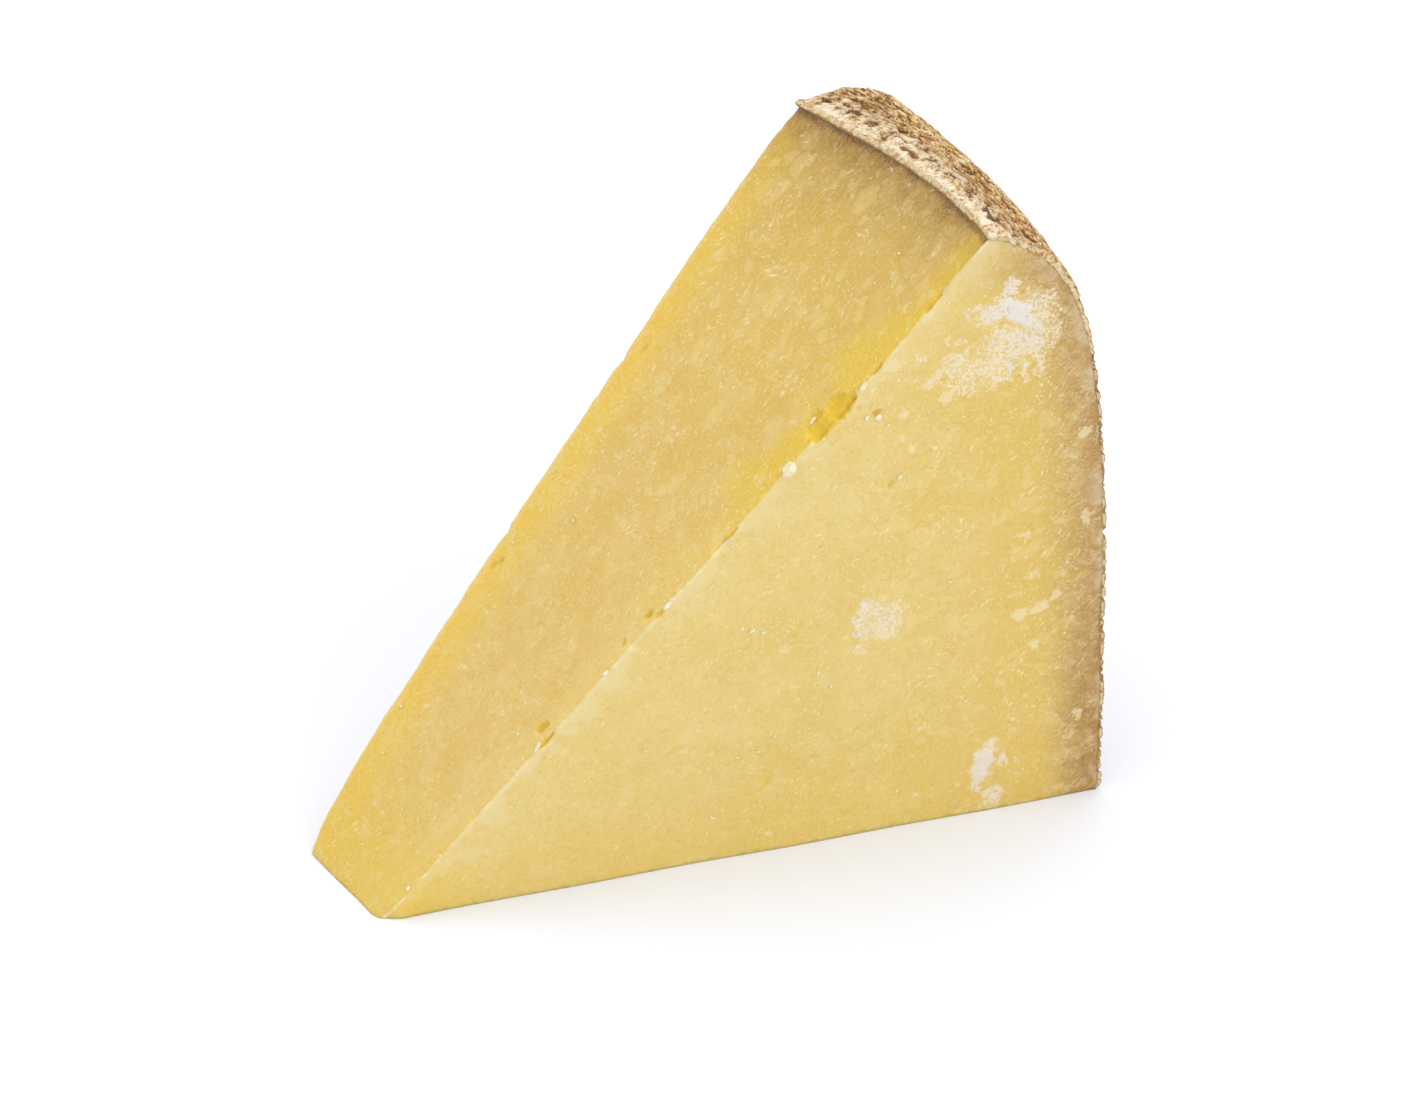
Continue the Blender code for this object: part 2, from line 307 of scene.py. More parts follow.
def smooth_noise(points, seed):
    """Smooth noise of about -1..1 at each point; one unit is one lump."""
    points = spatial(points)
    cell = np.floor(points).astype(np.int64)
    inside = points - cell
    ease = inside**3 * (inside * (inside * 6 - 15) + 10)
    total = np.zeros(len(points))
    for corner in np.ndindex(2, 2, 2):
        slope = scramble(cell + corner, seed) * 2 - 1
        weight = np.prod(np.where(corner, ease, 1 - ease), axis=1)
        total += weight * np.einsum("ij,ij->i", slope, inside - corner)
    return total * NOISE_GAIN


def rough_noise(points, seed, octaves=4, gain=0.5):
    """Smooth noise with finer and weaker copies added."""
    points = spatial(points)
    total = np.zeros(len(points))
    size = 1.0
    for octave in range(octaves):
        total += smooth_noise(points * OCTAVE_STEP**octave, seed + octave) * size
        size *= gain
    return total


def line_noise(distances, length, seed, octaves=3):
    """Rough noise along a line."""
    beside = np.full(len(distances), LINE_PLACE)
    return rough_noise(np.c_[distances / length, beside], seed, octaves)


def cell_noise(points, seed):
    """Flat cells: how far the nearest seed is, how much farther the next, and a number per cell."""
    points = np.asarray(points, float)
    cell = np.floor(np.c_[points[:, :2], np.zeros(len(points))]).astype(np.int64)
    nearest = np.full(len(points), FAR)
    second = np.full(len(points), FAR)
    tag = np.zeros(len(points))
    for x, y in np.ndindex(3, 3):
        other = cell + (x - 1, y - 1, 0)
        drawn = scramble(other, seed)
        apart = np.hypot(*(other[:, :2] + drawn[:, :2] - points[:, :2]).T)
        closer = apart < nearest
        second = np.where(closer, nearest, np.minimum(second, apart))
        tag = np.where(closer, drawn[:, 2], tag)
        nearest = np.where(closer, apart, nearest)
    return nearest, second - nearest, tag


def ramp(values, low, high):
    """A smooth step from 0 at low to 1 at high."""
    t = np.clip((values - low) / (high - low), 0, 1)
    return t * t * (3 - 2 * t)


def shifted(amounts, direction):
    """Moves along one direction, one for each amount."""
    return direction * np.asarray(amounts)[..., None]


# ---- the outline
OUTLINE_SAMPLES = 6000
OUTLINE_STEP = 0.1
COARSER = 5
FLAT_TOP_RUN = 20.0
SEARCH_BLOCK = 4000
DENT_LAYER = 3.7
CRACK_LAYER = 11.3
FOOT_ROUND_RUN = 1.6


def shoulder_outline():
    """The wheel's outline from the foot up: run, radius, height and outward normal."""
    turn = np.linspace(0, math.pi / 2, OUTLINE_SAMPLES)
    radius = FLAT_TOP_RADIUS + SHOULDER_WIDTH * np.cos(turn) ** (2 / SHOULDER_POWER)
    height = SHOULDER_START + SHOULDER_HEIGHT * np.sin(turn) ** (2 / SHOULDER_POWER)
    radius = np.r_[WHEEL_RADIUS, radius, FLAT_TOP_RADIUS - FLAT_TOP_RUN]
    height = np.r_[0, height, HEIGHT]
    run = np.r_[0, np.cumsum(np.hypot(np.diff(radius), np.diff(height)))]
    even = np.arange(0, run[-1], OUTLINE_STEP)
    radius = np.interp(even, run, radius)
    height = np.interp(even, run, height)
    along = np.stack([np.gradient(radius), np.gradient(height)])
    along /= np.hypot(*along)
    return even, radius, height, along[1], -along[0]


OUTLINE = shoulder_outline()
COARSE_OUTLINE = np.stack(OUTLINE[:3])[:, ::COARSER]


def outline_at(run):
    """Radius, height and the outward normal's two parts at distances from the foot."""
    return [np.interp(run, OUTLINE[0], values) for values in OUTLINE[1:]]


def run_at_radius(radius):
    """Distance along the outline to where the top crust has that radius."""
    return np.interp(-np.asarray(radius), -OUTLINE[1], OUTLINE[0])


def nearest_on_outline(radius, height):
    """The distance to the outline, and the run of its nearest place."""
    runs, rows_r, rows_z = COARSE_OUTLINE
    apart = np.empty(len(radius))
    run = np.empty(len(radius))
    for start in range(0, len(radius), SEARCH_BLOCK):
        part = slice(start, start + SEARCH_BLOCK)
        square = (radius[part, None] - rows_r) ** 2 + (height[part, None] - rows_z) ** 2
        nearest = square.argmin(axis=1)
        apart[part] = np.sqrt(square[np.arange(len(nearest)), nearest])
        run[part] = runs[nearest]
    return apart, run


def on_wheel(radius, angle, height):
    """Points by their distance from the wheel's axis, their turn and their height."""
    radius, angle, height = np.broadcast_arrays(radius, angle, height)
    x = AXIS_X + radius * np.cos(angle)
    return np.stack([x, radius * np.sin(angle), height], axis=-1)


def wheel_place(points):
    """The radius, turn and height of points."""
    x = points[:, 0] - AXIS_X
    return np.hypot(x, points[:, 1]), np.arctan2(points[:, 1], x), points[:, 2]


def crust_dent(angle, run):
    """How far the crust lies below its outline: the CAD's dents, weaker, and a worn foot."""
    angle, run = np.broadcast_arrays(np.asarray(angle, float), np.asarray(run, float))
    radius, height, _, _ = outline_at(run)
    down = (HEIGHT - height) + (WHEEL_RADIUS - radius)
    dents = np.empty(len(run))
    for i, (x, y) in enumerate(zip(angle * WHEEL_RADIUS, down)):
        dent = noise.noise(Vector((x / CRUST_DENT_RUN, y / CRUST_DENT_RUN, DENT_LAYER)))
        crack = noise.noise(Vector((x / CRUST_CRACK_LENGTH, y / CRUST_CRACK_WIDTH, CRACK_LAYER)))
        dents[i] = CRUST_DENT * (0.5 + 0.5 * dent) + CRUST_CRACK * max(0.0, crack)
    return dents * DENT_SHOWN + FOOT_ROUND * ramp(run, FOOT_ROUND_RUN, 0.0) ** 2


# ---- the cuts
def wave(s, t):
    """The slight waviness that the blade left, as in the CAD."""
    first = np.sin(2 * math.pi * (s + 0.3 * t) / CUT_WAVE_LENGTH)
    second = np.sin(2 * math.pi * (t - 0.4 * s) / (CUT_WAVE_LENGTH * 1.37) + 1.1)
    return CUT_WAVE * 0.5 * (first + second)


def unit(vector):
    """The vector at length one."""
    return vector / np.linalg.norm(vector)


TIP_FRONT = on_wheel(TIP_RADIUS_FRONT, -HALF_ANGLE, 0.0)
TIP_BACK = on_wheel(TIP_RADIUS_BACK, HALF_ANGLE, 0.0)
TOP_FRONT = on_wheel(TOP_RADIUS_FRONT, -HALF_ANGLE, HEIGHT)
TOP_BACK = on_wheel(TOP_RADIUS_BACK, HALF_ANGLE, HEIGHT)
SLANT_NORMAL = unit(np.cross(TOP_FRONT - TIP_FRONT, TIP_BACK - TIP_FRONT))
UPHILL = unit(TOP_FRONT - TIP_FRONT)
SIDEWAYS = np.cross(SLANT_NORMAL, UPHILL)
SIDEWAYS = SIDEWAYS * np.sign(SIDEWAYS @ (TIP_BACK - TIP_FRONT))
SLANT_LENGTH = np.linalg.norm(TOP_FRONT - TIP_FRONT)
TOP_LENGTH = np.linalg.norm(TOP_BACK - TOP_FRONT)
CUT_NORMALS = {side: np.array([-math.sin(HALF_ANGLE), side * math.cos(HALF_ANGLE), 0])
               for side in (-1, 1)}
CUT_OUTWARDS = {side: np.array([math.cos(HALF_ANGLE), side * math.sin(HALF_ANGLE), 0])
                for side in (-1, 1)}
FOOT_NORMAL = np.array([0, 0, -1.0])


def slant_swell(rise, across):
    """How far the slanting cut stands out of the plane through its corners."""
    arch = np.sin(math.pi * np.clip(rise, 0, 1))
    swell = SLANT_SWELL_BACK * across**2 * arch**SLANT_SWELL_POWER
    hollow = SLANT_HOLLOW_FRONT * (1 - across) * arch
    return swell - hollow + wave(SLANT_LENGTH * (rise + 0.25), TOP_LENGTH * (across + 0.6))


def slant_place(rise, across):
    """Points of the slanting cut: rise 0 tip to 1 top, across 0 front to 1 back."""
    rise, across = np.broadcast_arrays(np.asarray(rise, float), np.asarray(across, float))
    low = TIP_FRONT + shifted(across, TIP_BACK - TIP_FRONT)
    high = TOP_FRONT + shifted(across, TOP_BACK - TOP_FRONT)
    return low + (high - low) * rise[..., None] + shifted(slant_swell(rise, across), SLANT_NORMAL)


def slant_flat(points):
    """Distances uphill and sideways on the slanting cut's plane."""
    out = points - TIP_FRONT
    return np.stack([out @ UPHILL, out @ SIDEWAYS], axis=-1)


def slant_rise_across(points):
    """The rise and the across of points near the slanting cut."""
    up, side = slant_flat(points).T
    rise = up / SLANT_LENGTH
    low = TIP_BACK - TIP_FRONT
    high = TOP_BACK - TOP_FRONT
    for _ in range(3):
        width = low * (1 - rise[:, None]) + high * rise[:, None]
        across = side / (width @ SIDEWAYS)
        rise = (up - across * (width @ UPHILL)) / SLANT_LENGTH
    return rise, across


def slant_from_flat(flat):
    """Points of the slanting cut over places of its plane."""
    place = TIP_FRONT + flat[:, :1] * UPHILL + flat[:, 1:] * SIDEWAYS
    return slant_place(*slant_rise_across(place))


def radial_place(side, radius, height):
    """Points on an upright cut: side -1 is the front one and +1 the back one."""
    offset = shifted(wave(radius, height + 20.0 * side), CUT_NORMALS[side])
    return on_wheel(radius, side * HALF_ANGLE, height) + offset


def radial_flat(side, points):
    """Distance from the wheel's axis along an upright cut, and height."""
    return np.stack([(points - AXIS) @ CUT_OUTWARDS[side], points[..., 2]], axis=-1)


def onto_radial(side, points):
    """Points moved onto an upright cut along its normal."""
    flat = radial_flat(side, points)
    return radial_place(side, flat[..., 0], flat[..., 1])


def radial_depth(side, points):
    """How deep points lie behind an upright cut."""
    return (onto_radial(side, points) - points) @ CUT_NORMALS[side]


def slant_depth(points):
    """How deep points lie under the slanting cut."""
    rise, across = slant_rise_across(points)
    surface = slant_place(rise, np.clip(across, -0.1, 1.1))
    return (surface - points) @ SLANT_NORMAL


def lifted(points):
    """Points moved up the slanting cut near its top, where the crust's edge bulges."""
    across = np.clip(slant_rise_across(points)[1], 0, 1)
    rise = slant_flat(points)[:, 0] / SLANT_LENGTH
    depth = (TIP_FRONT - points) @ SLANT_NORMAL
    amount = LIFT_FRONT + (LIFT_BACK - LIFT_FRONT) * across
    amount += LIFT_MIDDLE * np.sin(math.pi * across**0.75)
    amount *= ramp(rise, 0.7, 1.0) * ramp(depth, LIFT_DEPTH, 0.0)
    return points + shifted(amount, UPHILL)


# ---- patches of triangles
ROW_GAP = 0.866
JITTER = 0.16
MERGE_GAP = 1e-6
BORDER_GAP = 0.7
LEAST_GAP = 0.3
HALVES = ([0, 1, 2], [0, 2, 3])


def triangulate(border, inner):
    """Triangles over a flat outline and the points inside it, as rows of indices."""
    flat = np.vstack([border, inner])
    places = [Vector(point) for point in flat]
    outline = [list(range(len(border)))]
    result = delaunay_2d_cdt(places, [], outline, 1, MERGE_GAP)
    source = [min(found) if found else -1 for found in result[3]]
    triangles = [[source[corner] for corner in face] for face in result[2]]
    return np.array([t for t in triangles if len(t) == 3 and min(t) >= 0])


def honeycomb(low, high, step, seed):
    """Jittered points in staggered rows over a box."""
    rows = int((high[1] - low[1]) / (step * ROW_GAP)) + 1
    columns = int((high[0] - low[0]) / step) + 1
    row, column = np.meshgrid(np.arange(rows), np.arange(columns), indexing="ij")
    x = low[0] + step * (column + 0.5 * (row % 2))
    y = low[1] + step * ROW_GAP * row
    points = np.stack([x.ravel(), y.ravel()], axis=1)
    draw = np.random.default_rng(seed)
    return points + draw.uniform(-JITTER, JITTER, points.shape) * step


def graded_points(border, wanted, seed, steps):
    """Points inside a border whose spacing follows wanted(points)."""
    tree = KDTree(len(border))
    for i, point in enumerate(border):
        tree.insert((point[0], point[1], 0), i)
    tree.balance()
    gap = np.linalg.norm(np.roll(border, -1, axis=0) - border, axis=1)
    kept = []
    for level, step in enumerate(steps):
        points = honeycomb(border.min(axis=0), border.max(axis=0), step, seed + level)
        size = wanted(points)
        upper = math.sqrt(step * steps[level - 1]) if level else math.inf
        lower = math.sqrt(step * steps[level + 1]) if level + 1 < len(steps) else 0.0
        kept.append(points[(size < upper) & (size >= lower)])
    points = np.vstack(kept)
    clear = np.empty(len(points), bool)
    for i, point in enumerate(points):
        _, index, apart = tree.find((point[0], point[1], 0))
        clear[i] = apart > max(BORDER_GAP * gap[index], LEAST_GAP * steps[0])
    return points[clear]


class Shell:
    """Vertices and triangles of one closed piece, collected patch by patch."""

    def __init__(self):
        self.parts = []
        self.count = 0
        self.triangles = []
        self.kinds = []
        self.flats = []

    def add(self, points):
        """Store points and return their indices."""
        points = np.atleast_2d(points)
        self.parts.append(points)
        first = self.count
        self.count += len(points)
        return np.arange(first, self.count)

    def points(self):
        """All the points so far."""
        return np.vstack(self.parts)

    def store(self, triangles, flats, kind):
        """Store triangles with their corners' flat places."""
        self.triangles.append(triangles)
        self.flats.append(flats)
        self.kinds.append(np.full(len(triangles), kind))

    def face(self, triangles, flats, outward, kind):
        """Store triangles, turned so that their summed normal agrees with outward."""
        places = self.points()[triangles]
        normal = np.cross(places[:, 1] - places[:, 0], places[:, 2] - places[:, 0])
        if (normal * outward).sum() < 0:
            triangles = triangles[:, ::-1]
            flats = flats[:, ::-1]
        self.store(triangles, flats, kind)

    def patch(self, loop, loop_flat, inner, inner_flat, outward, kind):
        """Triangles between a border's indices and inner ones."""
        corners = np.r_[loop, inner]
        flats = np.vstack([loop_flat, inner_flat])
        picked = triangulate(loop_flat, inner_flat)
        self.face(corners[picked], flats[picked], outward, kind)

    def closed(self):
        """Which vertices are used, then those, the triangles, their kinds and flat places."""
        points = self.points()
        triangles = np.vstack(self.triangles)
        used = np.zeros(len(points), bool)
        used[triangles.ravel()] = True
        number = np.cumsum(used) - 1
        kinds = np.hstack(self.kinds)
        return used, points[used], number[triangles], kinds, np.vstack(self.flats)


def ring(*chains):
    """Chains of indices joined into one loop."""
    return np.hstack([chain[:-1] for chain in chains])


def spaced(length, step):
    """Even parameters from 0 to 1 for a run of that length, both ends included."""
    return np.linspace(0, 1, max(2, round(length / step) + 1))


# ---- the rind
# Skin that has come off in many-sided bits, and long cracks: the cells' length
# and width in mm, a seed, how deep, which cells are taken (from none to all, by
# their number of 0 to 1), and the bits' clearance or the cracks' half width.
SKIN_BITS = (
    (2.0, 1.4, 46, 0.8, 0.76, 0.82, 0.05),
    (1.1, 0.7, 47, 0.7, 0.68, 0.74, 0.06),
)
CRUST_CRACKS = (
    (4.8, 1.35, 43, 1.0, 0.5, 0.6, 0.44),
    (2.3, 0.8, 44, 0.8, 0.52, 0.62, 0.42),
)


def top_run(angle):
    """How far from the foot, along the outline, the slanting cut ends the crust."""
    front = TOP_FRONT - AXIS
    along = TOP_BACK - TOP_FRONT
    turned = np.cos(angle) * along[1] - np.sin(angle) * along[0]
    return run_at_radius((front[0] * along[1] - front[1] * along[0]) / turned)


def rind_thickness(angle, run):
    """The rind's thickness: thinner at the upright cuts, and more round the shoulder."""
    from_cut = (HALF_ANGLE - np.abs(angle)) * WHEEL_RADIUS
    from_lip = top_run(angle) - run
    rim = CUT_THICKNESS + SHOULDER_EXTRA * ramp(from_lip, 30, 10)
    from_front = (HALF_ANGLE + angle) * WHEEL_RADIUS
    at_lip = LIP_CORNER + (LIP_THICKNESS - LIP_CORNER) * ramp(from_front, 0, 9)
    rim += (at_lip - rim) * ramp(from_lip, 5, 0)
    from_edge = np.minimum(np.minimum(from_cut, run), from_lip)
    return rim + (RIND_THICKNESS - rim) * ramp(from_edge, 0, 4)


def angular(x, y, sides, turn):
    """How far out of an even-sided figure places lie: 0 in its middle, 1 on its edge."""
    part = 2 * math.pi / sides
    around = (np.arctan2(y, x) - turn) % part - part / 2
    return np.hypot(x, y) * np.cos(around) / math.cos(part / 2)


def crust_relief(arc, run, from_lip):
    """The crust's lumps in mm and its cracks' and pits' depth, 0 to 1."""
    flat = np.stack([arc, run], axis=1)
    bend = np.stack([rough_noise(flat / 4.0, seed, 2) for seed in (41, 40)], axis=1)
    bent = flat + bend * (1.5, 1.0)
    top = ramp(from_lip + 2.2 * rough_noise(flat / 6.0, 48, 2), 12.0, 7.5)
    side = ramp(from_lip, 25, 38)
    from_edge = HALF_ANGLE * WHEEL_RADIUS - np.abs(arc)
    lumps = rough_noise(bent / 3.4, 42, 4, 0.55) * (0.2 - 0.08 * side)
    lumps += rough_noise(bent / 0.8, 49, 2) * 0.07
    streak = np.abs(smooth_noise(bent / (6.0, 1.1), 51))
    lumps += (0.14 - 0.4 * streak) * (1 - top) * (1 - 0.5 * side)
    lumps += 0.2 * np.maximum(0, smooth_noise(flat / (5.0, 4.2), 53)) * side
    lumps *= 1 - 0.4 * ramp(from_edge, 2.0, 0.0) * side

    # bits of skin that have come off, and thin curly worm marks
    clump = ramp(rough_noise(bent / 4.5, 45, 2), -0.35, 0.2)
    bits = np.zeros(len(arc))
    for length, width, seed, depth, least, most, border in SKIN_BITS:
        _, gap, tag = cell_noise(bent / (length, width), seed)
        found = depth * ramp(tag, least, most) * ramp(gap, border, 0.3) * clump
        bits = np.maximum(bits, found)
    curl = np.abs(rough_noise(bent / (2.2, 1.5), 54, 2))
    curls = ramp(curl, 0.14, 0.03) * ramp(smooth_noise(bent / 2.6, 55), -0.25, 0.3)
    bits = np.maximum(bits, 0.75 * curls) * (0.35 + 0.65 * top)

    # cracks along the wheel's turn, mostly round the shoulder
    cracks = np.zeros(len(arc))
    for length, width, seed, depth, least, most, reach in CRUST_CRACKS:
        apart, _, tag = cell_noise(bent / (length, width), seed)
        found = depth * ramp(tag, least, most) * ramp(apart, reach, 0.14)
        cracks = np.maximum(cracks, found)
    cracks *= 1 - 0.85 * top
    hollow = np.maximum(bits, cracks) * ramp(from_lip, 0.5, 1.7)
    hollow *= np.maximum(ramp(from_edge, -0.6, 1.4), side)
    for number, (place, inward, length, width, depth) in enumerate(CRUST_PITS):
        x = (arc - place + 0.4 * bend[:, 0]) / length
        y = (from_lip - inward + 0.4 * bend[:, 1]) / width
        apart = angular(x, y, 3 + number % 3, 1.9 * number)
        hollow = np.maximum(hollow, ramp(apart, 1.3, 0.7) * depth * 1.3)
    return lumps, hollow


def rind_place(s, t, through):
    """Points and looks for s across the wedge, t up the outline, through 0 outside to 1 inside."""
    s, t, through = np.broadcast_arrays(s, t, through)
    angle = HALF_ANGLE * (2 * s - 1)
    reach = top_run(angle)
    run = t * reach
    from_lip = reach - run
    radius, height, normal_r, normal_z = outline_at(run)
    arc = angle * WHEEL_RADIUS
    flat = np.stack([arc, run], axis=1)
    edge = HALF_ANGLE * WHEEL_RADIUS
    lumps, hollow = crust_relief(arc, run, from_lip)

    # where the knife broke bits off the crust's outer edge
    broken = ramp(line_noise(run, 2.0, 52, 3), 0.0, 0.3) * ramp(from_lip, 20, 30)
    broken *= ramp(edge - np.abs(arc), 1.4, 0.1)
    chip = broken * (1 - through)

    out = np.stack([normal_r * np.cos(angle), normal_r * np.sin(angle), normal_z], axis=1)
    lip = ramp(from_lip, 3.0, 0.0)[:, None]
    inward = -out * (1 - lip) - UPHILL * LIP_SLOPE * lip
    rough = (HOLLOW_DEPTH * hollow - lumps) * ramp(run, 0.0, 0.9) * (1 - through)
    sink = crust_dent(angle, run) + rough + CHIP_DEPTH * chip
    jag = rough_noise((flat + 1.3 * through[:, None]) / JAG_LENGTH, 50, 3)
    uneven = jag * (through < 0.9) * (0.05 + 0.15 * ramp(from_lip, 3, 0))
    thick = rind_thickness(angle, run) * (1 + uneven)
    deep = sink + thick * through
    points = on_wheel(radius, angle, height) + inward * deep[:, None]

    # the rims lie in the three cuts, a little proud of the paste, their inner edges sunk in it
    inner = ramp(through, 0.75, 1.0)
    for side in (-1, 1):
        proud = CUT_PROUD + 0.08 * jag - CUT_SUNK * inner
        proud += wave(radius, height + 20.0 * side)
        points += shifted(proud * ramp(edge - side * arc, 0.8, 0.0), CUT_NORMALS[side])
    proud = (LIP_PROUD + 0.16 * jag) * ramp(s, 0.0, 0.1) - LIP_SUNK * inner
    proud += slant_swell(1 - LIP_SLOPE * np.maximum(deep, 0) / SLANT_LENGTH, s)
    points += shifted(proud * ramp(from_lip, 0.8, 0.0), SLANT_NORMAL)
    points[:, 2] = np.maximum(points[:, 2], CLEAR_OF_FLOOR * through)
    cavity = np.maximum(hollow, 0.95 * broken * ramp(through, 0.8, 0.5))
    return points, flat, np.stack([cavity, lumps, from_lip, through * 1.0], axis=1)


def build_rind():
    """The rind as one closed shell: a fine skin, cut rims and a plain inside."""
    shell = Shell()
    looks = []

    def store(s, t, through):
        """Store places of the rind with their looks."""
        points, flat, look = rind_place(s, t, through)
        looks.append(look)
        return shell.add(points), flat

    wide = 2 * HALF_ANGLE * WHEEL_RADIUS
    tall = float(top_run(0.0))
    side = 1 - FINE_CRUST / tall
    s = spaced(wide, RIND_STEP_ACROSS)
    lower = spaced(tall - FINE_CRUST, RIND_STEP_SIDE) * side
    upper = side + spaced(FINE_CRUST, RIND_STEP_TOP) * (1 - side)
    t = np.r_[lower, upper[1:]]
    grid_t, grid_s = np.meshgrid(t, s, indexing="ij")
    skin, flat = store(grid_s.ravel(), grid_t.ravel(), 0.0)
    skin = skin.reshape(len(t), len(s))
    quads = np.stack([skin[:-1, :-1], skin[:-1, 1:], skin[1:, 1:], skin[1:, :-1]], axis=-1)
    split = np.vstack([quads.reshape(-1, 4)[:, half] for half in HALVES])
    shell.store(split, flat[split], 0)

    # rings of points round the skin's border, from its outside to the rind's inside
    edge_s = np.r_[s, np.ones(len(t) - 2), s[::-1], np.zeros(len(t) - 2)]
    edge_t = np.r_[np.zeros(len(s)), t[1:-1], np.ones(len(s)), t[1:-1][::-1]]
    last = np.r_[skin[0], skin[1:-1, -1], skin[-1, ::-1], skin[1:-1, 0][::-1]]
    after = np.roll(np.arange(len(last)), -1)
    last_flat = flat[last]
    beyond = [(edge == 1) * 1.0 - (edge == 0) for edge in (edge_s, edge_t)]
    beyond = np.stack(beyond, axis=1)
    for row in range(1, RIM_ROWS + 1):
        new, new_flat = store(edge_s, edge_t, row / RIM_ROWS)
        new_flat = new_flat + beyond * (row / RIM_ROWS * LIP_THICKNESS * LIP_SLOPE)
        quads = np.stack([last[after], last, new, new[after]], axis=1)
        flats = np.stack([last_flat[after], last_flat, new_flat, new_flat[after]], axis=1)
        for half in HALVES:
            shell.store(quads[:, half], flats[:, half], 1)
        last = new
        last_flat = new_flat

    low = (INSIDE_BORDER - wide / 2, INSIDE_BORDER)
    high = (wide / 2 - INSIDE_BORDER, tall - 2 * INSIDE_BORDER)
    inner = honeycomb(low, high, HIDDEN_STEP, RIND_SEED)
    inside, _ = store(inner[:, 0] / wide + 0.5, inner[:, 1] / tall, 1.0)
    border = np.stack([(edge_s - 0.5) * wide, edge_t * tall], axis=1)
    corners = np.r_[last, inside]
    picked = triangulate(border, inner)
    towards_axis = AXIS - shell.points()[corners[picked]].mean(axis=1)
    shell.face(corners[picked], np.vstack([border, inner])[picked], towards_axis, 2)
    used, points, triangles, kinds, flats = shell.closed()
    return points, triangles, kinds, flats, np.vstack(looks)[used]


# ---- the paste
def paste_outer(angle, run):
    """Points of the paste's outer side, just inside the rind."""
    radius, height, normal_r, normal_z = outline_at(run)
    inset = crust_dent(angle, run) + rind_thickness(angle, run) * PASTE_INSET
    return on_wheel(radius - normal_r * inset, angle, height - normal_z * inset)


def ridge_top(across):
    """The rise at which the slanting cut ends, hidden under the rind's lip."""
    angle = HALF_ANGLE * (2 * across - 1)
    reach = top_run(angle)
    under = crust_dent(angle, reach) + LIP_COVER * rind_thickness(angle, reach)
    return 1 - LIP_SLOPE * under / SLANT_LENGTH


def outer_flat(points):
    """Distance along the wheel's turn and along its outline."""
    radius, angle, height = wheel_place(points)
    return np.stack([angle * WHEEL_RADIUS, nearest_on_outline(radius, height)[1]], axis=1)


def coarsening(distance, fine_run, growth):
    """The mesh step at a distance from an edge: fine for a run, then growing."""
    return FINE_STEP + growth * np.maximum(0, distance - fine_run)


def front_wanted(flat):
    """The mesh step wanted on the front cut: fine by its edges and under the mould."""
    place = radial_place(-1, flat[:, 0], flat[:, 1])
    by_ridge = coarsening(slant_depth(place), 3.0, COARSER_FROM_RIDGE)
    by_crust = coarsening(nearest_on_outline(flat[:, 0], flat[:, 1])[0], 2.0, COARSER_FROM_CRUST)
    size = np.minimum(np.minimum(by_ridge, by_crust), FACE_STEP)
    spotted = lobe_field(flat, MOULD_LOBES + PALE_LOBES) > 0.1
    return np.where(spotted, np.minimum(size, SPOT_STEP), size)


def slant_wanted(flat):
    """The mesh step wanted on the slanting cut: fine by the ridge and the lip."""
    by_ridge = coarsening(flat[:, 1], 4.0, COARSER_FROM_RIDGE)
    by_lip = coarsening(SLANT_LENGTH - flat[:, 0], 2.0, COARSER_FROM_CRUST)
    return np.minimum(np.minimum(by_ridge, by_lip), FACE_STEP)


